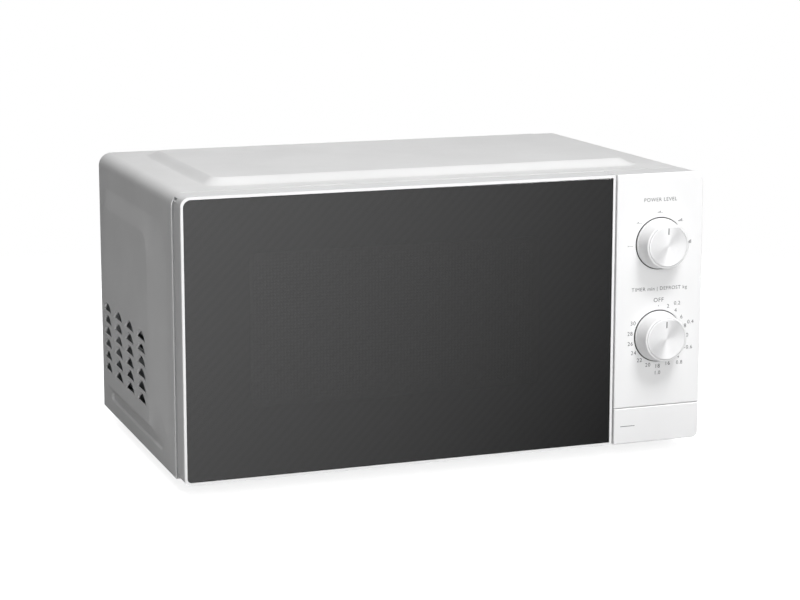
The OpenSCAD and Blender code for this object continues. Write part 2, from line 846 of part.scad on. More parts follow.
module magnetron_magnets() {
    color("#4a4b4d") from_corner() for (x = [guide_x1 + 1.5, yoke_x1 - 9.5]) difference() {
        rod_x(x, x + 8, tube_y, tube_z, 27);
        rod_x(x - 1, x + 9, tube_y, tube_z, 12);
    }
}

module magnetron_fins() {
    x0 = guide_x1 + 9.6;
    x1 = yoke_x1 - 9.6;
    color("#d3d6d8") from_corner() {
        rod_x(x0, x1, tube_y, tube_z, 19);
        for (i = [0:7]) {
            x = x0 + 1.5 + i * (x1 - x0 - 4) / 7;
            block(x, x + 0.8, tube_y - 35, tube_y + 35, tube_z - 40.4, tube_z + 40.4);
        }
    }
}

module magnetron_antenna() {
    color("#e0dcd0") from_corner() {
        rod_x(guide_x1 - 12, guide_x1 + 9.6, tube_y, tube_z, 10);
        rod_x(guide_x1 - 22, guide_x1 - 11, tube_y, tube_z, 7.5);
    }
}

module magnetron_filter_box() {
    color("#b4b7ba") from_corner() {
        block(yoke_x1, right_in - 4, tube_y - 25, tube_y + 25, tube_z - 28, tube_z + 24);
        rod_x(yoke_x1 - 9.6, yoke_x1 + 1, tube_y, tube_z, 9);
        for (y = [tube_y - 8, tube_y + 8]) block(yoke_x1 + 12, yoke_x1 + 18, y - 0.4, y + 0.4, tube_z - 36, tube_z - 27);
    }
}

// ---- Electronics ----

module inverter_board() {
    color(board_green) from_corner() {
        block(336, 434, 90, 268, board_z, board_z + 1.6);
        for (x = [340, 430], y = [94, 264]) rod_z(x, y, base_z + sheet_t, board_z + 0.5, 3);
    }
}

module inverter_heatsink() {
    color("#aeb3b8") from_corner() {
        block(342, 372, 100, 190, board_z + 1.6, board_z + 7);
        for (i = [0:6]) block(342 + i * 4.7, 343.8 + i * 4.7, 100, 190, board_z + 6.5, 58);
    }
}

module inverter_transformer() {
    z0 = board_z + 1.6;
    color("#50443c") from_corner() difference() {
        union() {
            block(384, 426, 100, 154, z0 + 4, z0 + 44);
            block(380, 430, 106, 148, z0, z0 + 34);
        }
        rod_y(405, 98, 156, z0 + 24, 5);
    }
}

module inverter_capacitors() {
    z0 = board_z + 1.6;
    color("#7d5a3a") from_corner() {
        for (y = [176, 204]) block(384, 426, y, y + 20, z0, z0 + 32);
        for (x = [352, 372], y = [214, 242]) rod_z(x, y, z0, z0 + 26, 8.5);
    }
}

module noise_filter_board() {
    color(board_green) from_corner() {
        block(wall_x + 4, wall_x + 5.6, 186, 228, 84, 180);
        for (z = [88, 176], y = [190, 224]) rod_x(wall_x, wall_x + 4.5, y, z, 2.5);
        rod_x(wall_x + 5, wall_x + 17, 206, 112, 10);
        block(wall_x + 5, wall_x + 17, 194, 218, 150, 166);
    }
}

module line_fuse() {
    color("#d9d4c4") from_corner() {
        rod_y(wall_x + 11, 192, 222, 136, 3);
        for (y = [192, 216]) {
            rod_y(wall_x + 11, y, y + 6, 136, 3.4);
            block(wall_x + 5.6, wall_x + 9, y + 1, y + 5, 134, 138);
        }
    }
}

module cord_gland() {
    color(dark_plastic) from_corner() difference() {
        union() {
            rod_y(400, rear_y - 6, cabinet_d + 2, 34, 7.9);
            rod_y(400, cabinet_d - 1, cabinet_d + 2, 34, 11);
            rod_y(400, rear_y - 5, rear_y, 34, 10);
        }
        rod_y(400, rear_y - 7, cabinet_d + 3, 34, 3.6);
    }
}

module fan_shroud() {
    y1 = rear_y - 1;
    color("#d7d8da") from_corner() difference() {
        union() {
            block(fan_x - 48.5, fan_x + 48.5, y1 - 2, y1, fan_z - 50, fan_z + 50);
            rod_y(fan_x, y1 - 26, y1, fan_z, fan_r + 4);
            for (x = [fan_x - 38, fan_x + 32])
                block(x, x + 6, y1 - 56, y1 - 20, fan_z - 5, fan_z + 5);
            block(fan_x - 38, fan_x + 38, y1 - 58, y1 - 55, fan_z - 5, fan_z + 5);
        }
        rod_y(fan_x, y1 - 27, y1 + 1, fan_z, fan_r + 2);
        rod_y(fan_x, y1 - 60, y1 - 40, fan_z, 4);
    }
}

module fan_motor() {
    y0 = rear_y - 56;
    color("#8f8478") from_corner() difference() {
        union() {
            block(fan_x - 24, fan_x + 24, y0, y0 + 14, fan_z - 30, fan_z + 18);
            block(fan_x - 12, fan_x + 12, y0 - 2.9, y0 + 20, fan_z - 36, fan_z - 14);
        }
        rod_y(fan_x, y0 - 4, y0 + 24, fan_z, 2.05);
    }
}

module fan_impeller() {
    y1 = rear_y - 5;
    color("#f0f0ee") from_corner() translate([fan_x, y1, fan_z]) rotate([90, 0, 0]) {
        cylinder(h = 58, r = 2);
        cylinder(h = 18, r = 10);
        for (turn = [0:72:288])
            rotate([0, 0, turn]) translate([9, 0, 9]) rotate([32, 0, 0])
                translate([0, -13, -0.8]) cube([fan_r - 12, 26, 1.6]);
    }
}

module lamp_housing() {
    color("#e4e2dc") from_corner() difference() {
        block(wall_x, wall_x + 22, 184, 220, 186, 212);
        block(wall_x - 1, wall_x + 20, 186, 218, 188, 213);
        rod_y(wall_x + 11, 183, 190, 200, 6);
    }
}

module cavity_lamp() {
    color("#f3ecc8") from_corner() {
        rod_y(wall_x + 11, 182.5, 196, 200, 5.9);
        translate([wall_x + 11, 200, 200]) sphere(7);
    }
}

module thermal_cutouts() {
    color("#2f2f31") from_corner() for (spot = [[100, 84], [246, 72]])
        translate([wall_x, spot[0], spot[1]]) {
            rod_x(0, 7, 0, 0, 8);
            for (y = [-4, 3]) block(6, 14, y, y + 0.8, -3, 3);
        }
}

// Insulated leads that run inside the component bay, from the gland to the boards and controls
module wiring_harness() {
    color("#b5342e") from_corner() {
        wire([[400, 272, 34], [400, 258, 44], [390, 246, 62], [360, 236, 78], [346, 220, 84], [340, 208, 90],
            [338.8, 206, 96]], 1.6);
        wire([[346, 190, 118], [352, 184, 110], [358, 150, 104], [360, 110, 98], [362, 90, 94], [380, 72, 84],
            [388, 66, 70]], 1.3);
        wire([[420, 140, 128], [422, 138, 112], [420, 130, 84], [412, 126, 66], [410, 126, 55]], 1.3);
        wire([[360, 86, 60], [366, 92, 40], [376, 98, 26], [378, 104, 12]], 1.3);
    }
}

cabinet_wrap();
base_plate();
rear_panel();
front_plate();
oven_cavity();
feet();
case_screws();
control_panel();
upper_hinge_bracket();
lower_hinge_bracket();
latch_housing();
door_switches();
waveguide();
waveguide_cover();
magnetron_yoke();
magnetron_magnets();
magnetron_fins();
magnetron_antenna();
magnetron_filter_box();
inverter_board();
inverter_heatsink();
inverter_transformer();
inverter_capacitors();
noise_filter_board();
line_fuse();
cord_gland();
fan_shroud();
fan_motor();
fan_impeller();
lamp_housing();
cavity_lamp();
thermal_cutouts();
wiring_harness();
timer_mechanism();
timer_bell();
power_regulator();
turntable_motor();
door_frame();
door_glass();
door_plate();
choke_cover();
window_film();
latch_hooks();
latch_spring();
release_button();
button_spring();
release_lever();
power_knob();
power_knob_cap();
power_shaft();
timer_knob();
timer_knob_cap();
timer_shaft();
turntable_shaft();
drive_coupler();
turntable_plate();
roller_ring();
roller_wheel_1();
roller_wheel_2();
roller_wheel_3();
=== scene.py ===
"""Looks of a countertop microwave oven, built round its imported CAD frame.

Every size below is in millimetres from the front's lower left corner: x to the right, y to the
rear, z up. at() turns such a point into the frame's metres.
"""

import json
import math

import bmesh
import bpy
import numpy as np
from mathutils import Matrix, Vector
from mathutils.geometry import tessellate_polygon

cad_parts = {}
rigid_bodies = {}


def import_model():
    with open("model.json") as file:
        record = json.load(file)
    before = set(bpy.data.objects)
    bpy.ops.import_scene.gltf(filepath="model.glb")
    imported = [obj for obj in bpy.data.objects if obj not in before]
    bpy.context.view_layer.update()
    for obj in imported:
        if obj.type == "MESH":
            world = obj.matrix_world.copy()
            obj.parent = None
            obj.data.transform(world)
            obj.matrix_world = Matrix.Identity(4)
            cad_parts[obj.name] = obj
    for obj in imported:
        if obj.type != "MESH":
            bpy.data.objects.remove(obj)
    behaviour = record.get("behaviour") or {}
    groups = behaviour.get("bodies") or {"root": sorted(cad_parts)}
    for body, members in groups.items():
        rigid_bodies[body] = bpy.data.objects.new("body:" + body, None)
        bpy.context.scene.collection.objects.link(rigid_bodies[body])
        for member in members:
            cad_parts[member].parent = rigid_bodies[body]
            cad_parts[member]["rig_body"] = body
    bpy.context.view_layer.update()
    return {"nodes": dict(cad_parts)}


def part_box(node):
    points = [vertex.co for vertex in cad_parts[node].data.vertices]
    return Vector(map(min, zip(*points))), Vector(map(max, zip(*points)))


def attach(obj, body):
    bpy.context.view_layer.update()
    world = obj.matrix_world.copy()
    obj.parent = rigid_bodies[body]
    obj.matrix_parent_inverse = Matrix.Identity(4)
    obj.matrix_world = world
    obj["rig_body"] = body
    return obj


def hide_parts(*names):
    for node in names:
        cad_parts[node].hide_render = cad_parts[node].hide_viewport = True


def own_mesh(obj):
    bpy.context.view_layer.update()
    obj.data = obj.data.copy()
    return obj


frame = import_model()

MM = 0.001
FRONT_CORNER = Vector(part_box("door_frame")[0])


def at(x, y, z):
    """A point of the oven in the frame's metres."""
    return FRONT_CORNER + Vector((x, y, z)) * MM


def edges(node):
    """A CAD node's box in millimetres: x0, y0, z0, x1, y1, z1."""
    low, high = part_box(node)
    return [value / MM for value in (*(low - FRONT_CORNER), *(high - FRONT_CORNER))]


# ---- Driving dimensions, from the frame ----

DOOR = edges("door_frame")
PANEL = edges("control_panel")
CASING = edges("cabinet_wrap")
GLASS = edges("door_glass")
PLATE = edges("turntable_plate")
FRONT_W = PANEL[3]
FRONT_H = PANEL[5]
SHEET = 1.0
CASING_R = 11.0
SIDE_LIFT = -CASING[0]
TOP_LIFT = CASING[5] - FRONT_H
WINDOW = (54.0, 57.0, 296.0, 178.0)
SPINDLE = ((PLATE[0] + PLATE[3]) / 2, (PLATE[1] + PLATE[4]) / 2)


# ---- Outlines ----

def arc(cx, cy, radius, start, turn, steps):
    """Points along an arc, start and turn in degrees."""
    angles = [math.radians(start + turn * i / steps) for i in range(steps + 1)]
    return [(cx + radius * math.cos(a), cy + radius * math.sin(a)) for a in angles]


def rounded(x0, y0, x1, y1, radii, steps=8):
    """A rectangle with a radius at each corner: lower left, lower right, upper right, upper left."""
    low_left, low_right, up_right, up_left = [max(r, 0.01) for r in radii]
    return (
        arc(x0 + low_left, y0 + low_left, low_left, 180, 90, steps)
        + arc(x1 - low_right, y0 + low_right, low_right, 270, 90, steps)
        + arc(x1 - up_right, y1 - up_right, up_right, 0, 90, steps)
        + arc(x0 + up_left, y1 - up_left, up_left, 90, 90, steps)
    )


def inset_rect(box, inset, radii, steps=8):
    """The same rectangle moved inwards, with its radii made smaller to match."""
    x0, y0, x1, y1 = box
    return rounded(
        x0 + inset, y0 + inset, x1 - inset, y1 - inset, [r - inset for r in radii], steps
    )


def lines(*stretches):
    """Numbers along a line: each stretch is (start, end, greatest step)."""
    values = []
    for start, end, step in stretches:
        count = max(1, math.ceil((end - start) / step - 1e-6))
        values += [start + (end - start) * i / count for i in range(count)]
    return values + [stretches[-1][1]]


def ease(t, softness=1.0):
    """A step from 0 to 1, between a straight ramp and a smooth one."""
    t = np.clip(t, 0, 1)
    return t + softness * (t * t * (3 - 2 * t) - t)


# ---- Building meshes ----

class Shape:
    """Points in millimetres and the faces between them."""

    def __init__(self):
        self.points = []
        self.faces = []
        self.finishes = []

    def add(self, points, faces, finish=0):
        start = len(self.points)
        self.points += [tuple(p) for p in points]
        self.faces += [[start + i for i in face] for face in faces]
        self.finishes += [finish] * len(faces)
        return self

    def loft(self, rings, around=True, cap_first=False, cap_last=False, finish=0):
        """Faces between rings that have the same number of points."""
        n = len(rings[0])
        last = (len(rings) - 1) * n
        faces = [
            [r * n + i, r * n + (i + 1) % n, (r + 1) * n + (i + 1) % n, (r + 1) * n + i]
            for r in range(len(rings) - 1)
            for i in range(n if around else n - 1)
        ]
        if cap_first:
            faces.append(list(range(n))[::-1])
        if cap_last:
            faces.append([last + i for i in range(n)])
        return self.add([p for ring in rings for p in ring], faces, finish)

    def lathe(self, profile, place, steps=64, finish=0):
        """Turns a profile of (radius, height) about an axis. place(x, y, h) sets it in the oven."""
        rings = []
        for radius, height in profile:
            ring = []
            for i in range(steps):
                a = 2 * math.pi * i / steps
                ring.append(place(radius * math.cos(a), radius * math.sin(a), height))
            rings.append(ring)
        return self.loft(rings, finish=finish)

    def flat(self, loops, finish=0):
        """A flat face inside the first loop and outside the others."""
        points = [p for loop in loops for p in loop]
        faces = tessellate_polygon([[Vector(p) for p in loop] for loop in loops])
        return self.add(points, faces, finish)

    def block(self, x0, y0, z0, x1, y1, z1, finish=0):
        corners = [(x, y, z) for x in (x0, x1) for y in (y0, y1) for z in (z0, z1)]
        faces = [[0, 1, 3, 2], [4, 6, 7, 5], [0, 4, 5, 1], [2, 3, 7, 6], [0, 2, 6, 4], [1, 5, 7, 3]]
        return self.add(corners, faces, finish)


def front_ring(outline, y):
    """An outline of (x, z) points set at a depth y."""
    return [(x, y, z) for x, z in outline]


def level_ring(outline, z):
    """An outline of (x, y) points set at a height z."""
    return [(x, y, z) for x, y in outline]


def facing(x, z):
    """Places a turned shape with its axis along y, through x and z. Height runs to the rear."""
    return lambda a, b, h: (x + a, h, z + b)


def upright(x, y):
    """Places a turned shape with its axis vertical, through x and y."""
    return lambda a, b, h: (x + a, y + b, h)


def smooth_mesh(mesh, sharp):
    mesh.shade_smooth()
    mesh.set_sharp_from_angle(angle=math.radians(sharp))


def make(name, shape, body, materials, replaces=(), sharp=32, closed=True, bevel=0):
    """Makes a piece from a shape, on a body, in place of some CAD nodes."""
    mesh = bpy.data.meshes.new(name)
    mesh.from_pydata([at(*p) for p in shape.points], [], shape.faces)
    mesh.polygons.foreach_set("material_index", shape.finishes)
    for material in materials if isinstance(materials, list) else [materials]:
        mesh.materials.append(material)
    work = bmesh.new()
    work.from_mesh(mesh)
    bmesh.ops.remove_doubles(work, verts=work.verts, dist=2e-6)
    if closed:
        bmesh.ops.recalc_face_normals(work, faces=work.faces)
    if bevel:
        corners = [e for e in work.edges if e.is_manifold and e.calc_face_angle() > math.radians(40)]
        bmesh.ops.bevel(
            work, geom=corners, offset=bevel * MM, segments=2, profile=0.5,
            affect="EDGES", clamp_overlap=True,
        )
    work.to_mesh(mesh)
    work.free()
    smooth_mesh(mesh, sharp)
    piece = bpy.data.objects.new(name, mesh)
    bpy.context.scene.collection.objects.link(piece)
    level = piece.modifiers.new("level faces", "WEIGHTED_NORMAL")
    level.weight = 100
    level.keep_sharp = True
    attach(piece, body)
    if replaces:
        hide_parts(*replaces)
    return piece


def thicken(piece, thickness, offset=-1.0, sharp=32):
    """Gives a sheet its thickness and keeps the result as the piece's own mesh."""
    solid = piece.modifiers.new("sheet", "SOLIDIFY")
    solid.thickness = thickness * MM
    solid.offset = offset
    bpy.context.view_layer.update()
    shown = piece.evaluated_get(bpy.context.evaluated_depsgraph_get())
    mesh = bpy.data.meshes.new_from_object(shown)
    piece.modifiers.clear()
    piece.data = mesh
    smooth_mesh(mesh, sharp)
    return piece


# ---- Materials ----

class Finish:
    """A Principled material whose nodes work in the frame's own space."""

    def __init__(self, name, colour, roughness, metallic=0.0):
        self.material = bpy.data.materials.new(name)
        self.material.use_nodes = True
        self.tree = self.material.node_tree
        self.shader = self.tree.nodes["Principled BSDF"]
        self.set("Base Color", (*colour, 1))
        self.set("Roughness", roughness)
        self.set("Metallic", metallic)
        self.material.diffuse_color = (*colour, 1)
        self.space = self.node("ShaderNodeTexCoord").outputs["Object"]

    def set(self, socket, value):
        self.shader.inputs[socket].default_value = value
        return self

    def node(self, kind, links=None, **settings):
        made = self.tree.nodes.new(kind)
        for name, value in settings.items():
            setattr(made, name, value)
        for socket, value in (links or {}).items():
            if isinstance(value, bpy.types.NodeSocket):
                self.tree.links.new(value, made.inputs[socket])
            else:
                made.inputs[socket].default_value = value
        return made

    def drive(self, socket, output):
        self.tree.links.new(output, self.shader.inputs[socket])
        return self

    def stretched(self, scale):
        return self.node("ShaderNodeMapping", {"Vector": self.space, "Scale": scale}).outputs[0]

    def noise(self, scale, detail=3.0, space=None, roughness=0.5):
        return self.node(
            "ShaderNodeTexNoise",
            {"Vector": space or self.space, "Scale": scale, "Detail": detail, "Roughness": roughness},
        ).outputs["Fac"]

    def cells(self, scale, output="Color", feature="F1", space=None):
        return self.node(
            "ShaderNodeTexVoronoi", {"Vector": space or self.space, "Scale": scale}, feature=feature
        ).outputs[output]

    def remap(self, value, low, high, to_low, to_high):
        return self.node(
            "ShaderNodeMapRange",
            {"Value": value, "From Min": low, "From Max": high, "To Min": to_low, "To Max": to_high},
        ).outputs["Result"]

    def ramp(self, value, *stops):
        """Colours at places along a value: each stop is (place, (r, g, b))."""
        made = self.node("ShaderNodeValToRGB", {"Fac": value})
        points = made.color_ramp.elements
        while len(points) < len(stops):
            points.new(0.5)
        for point, (place, colour) in zip(points, stops):
            point.position = place
            point.color = (*colour, 1)
        return made.outputs["Color"]

    def bump(self, height, distance, strength=1.0, under=None):
        links = {"Height": height, "Distance": distance * MM, "Strength": strength}
        if under is not None:
            links["Normal"] = under
        return self.node("ShaderNodeBump", links).outputs["Normal"]


def shade(colour, factor):
    return tuple(min(1.0, c * factor) for c in colour)


def painted(name, colour, roughness, peel=0.05, grain=900, coat=0.0):
    """Baked paint: a fine orange peel, with roughness that wanders a little."""
    f = Finish(name, colour, roughness)
    wander = f.noise(18, 4)
    f.drive("Base Color", f.ramp(wander, (0.3, shade(colour, 0.975)), (0.7, shade(colour, 1.02))))
    f.drive("Roughness", f.remap(f.noise(60, 5), 0.3, 0.7, roughness - 0.04, roughness + 0.05))
    f.drive("Normal", f.bump(f.noise(grain, 2), peel, 0.5))
    if coat:
        f.set("Coat Weight", coat).set("Coat Roughness", 0.12)
    return f.material


def moulded(name, colour, roughness, texture=0.02, grain=2600):
    """Moulded plastic: an eroded mould texture and faint flow marks."""
    f = Finish(name, colour, roughness)
    flow = f.noise(26, 3, f.stretched((1, 1, 0.25)))
    f.drive("Base Color", f.ramp(flow, (0.3, shade(colour, 0.98)), (0.7, shade(colour, 1.015))))
    f.drive("Roughness", f.remap(f.noise(140, 4), 0.3, 0.7, roughness - 0.03, roughness + 0.05))
    f.drive("Normal", f.bump(f.noise(grain, 3), texture, 0.6))
    return f.material


def brushed(name, colour, roughness, along=(1, 1, 30), depth=0.01):
    """Bare metal with drawn or brushed lines."""
    f = Finish(name, colour, roughness, 1.0)
    hair = f.noise(420, 4, f.stretched(along))
    f.drive("Base Color", f.ramp(hair, (0.25, shade(colour, 0.86)), (0.75, shade(colour, 1.08))))
    f.drive("Roughness", f.remap(hair, 0.3, 0.7, roughness - 0.07, roughness + 0.1))
    f.drive("Normal", f.bump(hair, depth, 0.5))
    return f.material


def galvanised():
    """Zinc-coated steel: overlapping spangles that differ in tone and gloss."""
    f = Finish("galvanised_steel", (0.56, 0.58, 0.6), 0.4, 0.45)
    spangle = f.cells(150)
    tone = f.node("ShaderNodeSeparateColor", {"Color": spangle}).outputs["Red"]
    fine = f.noise(700, 4)
    f.drive("Base Color", f.ramp(tone, (0.0, (0.53, 0.545, 0.56)), (1.0, (0.64, 0.655, 0.67))))
    f.drive("Roughness", f.remap(tone, 0, 1, 0.36, 0.48))
    f.drive("Normal", f.bump(fine, 0.02, 0.4))
    return f.material


def enamel():
    """Cavity enamel: pale grey glaze with dark specks."""
    f = Finish("cavity_enamel", (0.5, 0.51, 0.52), 0.25)
    speck = f.cells(620, "Distance")
    sparse = f.node("ShaderNodeSeparateColor", {"Color": f.cells(620)}).outputs["Green"]
    dots = f.remap(speck, 0.12, 0.2, 1, 0)
    chosen = f.remap(sparse, 0.72, 0.76, 0, 1)
    both = f.node("ShaderNodeMath", {0: dots, 1: chosen}, operation="MULTIPLY").outputs[0]
    f.drive("Base Color", f.ramp(both, (0.0, (0.5, 0.51, 0.52)), (1.0, (0.12, 0.12, 0.13))))
    f.drive("Roughness", f.remap(f.noise(400, 3), 0.3, 0.7, 0.26, 0.34))
    f.drive("Normal", f.bump(f.noise(420, 2), 0.03, 0.3))
    f.set("Coat Weight", 0.4).set("Coat Roughness", 0.1)
    return f.material


def rubber():
    f = Finish("foot_rubber", (0.022, 0.022, 0.024), 0.78)
    dust = f.noise(90, 5)
    f.drive("Base Color", f.ramp(dust, (0.35, (0.018, 0.018, 0.02)), (0.8, (0.05, 0.05, 0.052))))
    f.drive("Roughness", f.remap(dust, 0.3, 0.7, 0.68, 0.9))
    f.drive("Normal", f.bump(f.noise(1500, 3), 0.05, 0.6))
    return f.material


def smoked_glass():
    """Dark tinted front glass, with faint diagonal lines in its coating all round the window."""
    f = Finish("door_glass", (0.06, 0.062, 0.066), 0.03)
    turned = f.node(
        "ShaderNodeMapping", {"Vector": f.space, "Rotation": (0, math.radians(-45), 0)}
    ).outputs[0]
    weave = f.node(
        "ShaderNodeTexWave", {"Vector": turned, "Scale": 52, "Distortion": 0.4, "Detail": 1.0},
        bands_direction="X",
    ).outputs["Fac"]
    place = f.node("ShaderNodeSeparateXYZ", {"Vector": f.space}).outputs
    low, high = at(WINDOW[0], 0, WINDOW[1]), at(WINDOW[2], 0, WINDOW[3])
    beyond = []
    for axis, i in (("X", 0), ("Z", 2)):
        off = f.node("ShaderNodeMath", {0: place[axis], 1: (low[i] + high[i]) / 2}, operation="SUBTRACT").outputs[0]
        off = f.node("ShaderNodeMath", {0: off}, operation="ABSOLUTE").outputs[0]
        half = (high[i] - low[i]) / 2
        beyond.append(f.remap(off, half, half + 2 * MM, 0, 1))
    border = f.node("ShaderNodeMath", {0: beyond[0], 1: beyond[1]}, operation="MAXIMUM").outputs[0]
    lines_here = f.node("ShaderNodeMath", {0: weave, 1: border}, operation="MULTIPLY").outputs[0]
    f.drive("Specular IOR Level", f.remap(lines_here, 0, 1, 0.56, 0.46))
    f.drive("Roughness", f.remap(f.noise(120, 3), 0.3, 0.7, 0.03, 0.06))
    f.drive("Base Color", f.ramp(weave, (0.0, (0.055, 0.057, 0.06)), (1.0, (0.068, 0.07, 0.074))))
    f.set("Transmission Weight", 1.0).set("IOR", 1.5)
    return f.material


def mask_ink():
    """Black ceramic ink fired on the back of the glass."""
    f = Finish("mask_ink", (0.006, 0.006, 0.007), 0.5)
    f.drive("Base Color", f.ramp(f.noise(300, 3), (0.3, (0.005, 0.005, 0.006)), (0.7, (0.008, 0.008, 0.009))))
    f.drive("Roughness", f.remap(f.noise(800, 3), 0.3, 0.7, 0.42, 0.6))
    return f.material


def print_ink():
    f = Finish("print_ink", (0.12, 0.12, 0.125), 0.6)
    f.drive("Base Color", f.ramp(f.noise(2600, 2), (0.3, (0.05, 0.05, 0.055)), (0.7, (0.09, 0.09, 0.095))))
    return f.material


def clear(name, colour, roughness, ior, waves):
    """Clear glass or film, with slow ripples in its surface."""
    f = Finish(name, colour, roughness)
    ripple = f.noise(40, 2)
    f.drive("Roughness", f.remap(f.noise(200, 4), 0.3, 0.7, roughness, roughness + 0.05))
    f.drive("Normal", f.bump(ripple, waves, 0.5))
    f.set("Transmission Weight", 1.0).set("IOR", ior)
    return f.material


def spun_aluminium():
    """A disc faced on a lathe: fine rings, and a highlight that fans out from the middle."""
    f = Finish("spun_metal", (0.83, 0.83, 0.835), 0.36, 0.6)
    rings = f.node(
        "ShaderNodeTexWave", {"Vector": f.space, "Scale": 900, "Distortion": 0.6, "Detail": 2.0},
        wave_type="RINGS", rings_direction="Y",
    ).outputs["Fac"]
    f.drive("Roughness", f.remap(rings, 0, 1, 0.32, 0.42))
    f.drive("Base Color", f.ramp(rings, (0.0, (0.8, 0.8, 0.805)), (1.0, (0.86, 0.86, 0.865))))
    f.drive("Normal", f.bump(rings, 0.004, 0.4))
    f.drive("Tangent", f.node("ShaderNodeTangent", direction_type="RADIAL", axis="Y").outputs[0])
    f.set("Anisotropic", 0.65).set("Anisotropic Rotation", 0.25)
    return f.material


def mica():
    f = Finish("mica_sheet", (0.42, 0.35, 0.24), 0.35)
    flakes = f.node("ShaderNodeSeparateColor", {"Color": f.cells(260)}).outputs["Red"]
    f.drive("Base Color", f.ramp(flakes, (0.0, (0.34, 0.28, 0.19)), (1.0, (0.52, 0.44, 0.31))))
    f.drive("Roughness", f.remap(flakes, 0, 1, 0.25, 0.5))
    f.drive("Normal", f.bump(flakes, 0.03, 0.5))
    return f.material


def board():
    """A printed circuit board: green mask with copper tracks showing under it."""
    f = Finish("circuit_board", (0.02, 0.13, 0.05), 0.3)
    tracks = f.node(
        "ShaderNodeTexBrick",
        {"Vector": f.space, "Scale": 60, "Mortar Size": 0.04, "Color1": (0.02, 0.14, 0.05, 1),
         "Color2": (0.025, 0.17, 0.06, 1), "Mortar": (0.01, 0.08, 0.03, 1)},
    )
    f.drive("Base Color", tracks.outputs["Color"])
    f.drive("Roughness", f.remap(f.noise(300, 3), 0.3, 0.7, 0.24, 0.4))
    f.drive("Normal", f.bump(tracks.outputs["Fac"], 0.04, 0.5))
    return f.material


def windings():
    """Laminations and wound tape, in bands across the height."""
    f = Finish("transformer_core", (0.2, 0.13, 0.05), 0.45)
    bands = f.node(
        "ShaderNodeTexWave", {"Vector": f.space, "Scale": 160, "Distortion": 0.3, "Detail": 1.0},
        bands_direction="Z",
    ).outputs["Fac"]
    f.drive("Base Color", f.ramp(bands, (0.1, (0.1, 0.07, 0.035)), (0.9, (0.3, 0.2, 0.08))))
    f.drive("Roughness", f.remap(bands, 0, 1, 0.38, 0.55))
    f.drive("Normal", f.bump(bands, 0.08, 0.6))
    return f.material


def ceramic(name, colour, roughness, specks):
    f = Finish(name, colour, roughness)
    grain = f.noise(specks, 5)
    f.drive("Base Color", f.ramp(grain, (0.3, shade(colour, 0.9)), (0.7, shade(colour, 1.08))))
    f.drive("Roughness", f.remap(grain, 0.3, 0.7, roughness - 0.05, roughness + 0.1))
    f.drive("Normal", f.bump(grain, 0.03, 0.5))
    return f.material


def frosted():
    f = Finish("lamp_glass", (0.95, 0.9, 0.78), 0.3)
    f.drive("Roughness", f.remap(f.noise(900, 3), 0.3, 0.7, 0.22, 0.42))
    f.drive("Normal", f.bump(f.noise(1200, 2), 0.02, 0.4))
    f.set("Transmission Weight", 0.6).set("IOR", 1.45)
    return f.material


def insulation():
    """Wires in three colours, told apart by where each one runs."""
    f = Finish("wire_insulation", (0.3, 0.05, 0.04), 0.4)
    place = f.node("ShaderNodeSeparateXYZ", {"Vector": f.space}).outputs["Z"]
    f.drive("Base Color", f.ramp(
        f.remap(place, 0.0, 0.14, 0, 1),
        (0.0, (0.03, 0.06, 0.25)), (0.45, (0.32, 0.04, 0.03)), (1.0, (0.7, 0.68, 0.62))))
    f.drive("Normal", f.bump(f.noise(1800, 2), 0.02, 0.4))
    return f.material


WHITE = (0.8, 0.8, 0.803)
CASING_WHITE = (0.79, 0.79, 0.79)
MATERIALS = {
    "casing_paint": painted("casing_paint", CASING_WHITE, 0.4, 0.05, 1100),
    "galvanised_steel": galvanised(),
    "front_paint": painted("front_paint", (0.55, 0.555, 0.56), 0.34, 0.04, 800),
    "cavity_enamel": enamel(),
    "foot_rubber": rubber(),
    "screw_steel": brushed("screw_steel", (0.6, 0.6, 0.62), 0.3, (12, 12, 1)),
    "white_plastic": moulded("white_plastic", WHITE, 0.36),
    "cream_plastic": moulded("cream_plastic", (0.66, 0.64, 0.57), 0.42),
    "black_plastic": moulded("black_plastic", (0.022, 0.022, 0.024), 0.45, 0.03, 1800),
    "amber_plastic": moulded("amber_plastic", (0.5, 0.27, 0.06), 0.38),
    "mica_sheet": mica(),
    "ferrite": ceramic("ferrite", (0.045, 0.045, 0.048), 0.55, 900),
    "fin_aluminium": brushed("fin_aluminium", (0.78, 0.79, 0.8), 0.32, (1, 20, 1)),
    "ceramic": ceramic("ceramic", (0.78, 0.75, 0.69), 0.35, 500),
    "circuit_board": board(),
    "transformer_core": windings(),
    "capacitor_case": moulded("capacitor_case", (0.03, 0.05, 0.14), 0.3, 0.01),
    "lamp_glass": frosted(),
    "wire_insulation": insulation(),
    "bell_brass": brushed("bell_brass", (0.75, 0.55, 0.25), 0.28, (6, 6, 6)),
    "door_glass": smoked_glass(),
    "screen_paint": painted("screen_paint", (0.03, 0.03, 0.032), 0.45, 0.04, 1300),
    "window_film": clear("window_film", (0.9, 0.92, 0.92), 0.04, 1.4, 0.02),
    "spring_steel": brushed("spring_steel", (0.55, 0.56, 0.58), 0.28, (9, 9, 9)),
    "spun_metal": spun_aluminium(),
    "plate_glass": clear("plate_glass", (0.86, 0.93, 0.91), 0.02, 1.5, 0.05),
}
INK = print_ink()
MASK = mask_ink()
WHITE_PLASTIC = MATERIALS["white_plastic"]


# ---- Casing: one pressed sheet ----

VENT_COLUMNS, VENT_ROWS = 4, 6
VENT_W, VENT_H = 30.0, 8.0
VENT_Y0, VENT_Z0 = 109.5, 38.2
VENT_PITCH_Y, VENT_PITCH_Z = 40.8, 10.45
VENT_DEPTH = 2.8
VENT_MOUTH = 0.88
VENT_SEAM = 0.5
VENT_R = (VENT_W ** 2 / 4 + VENT_H ** 2) / (2 * VENT_H)


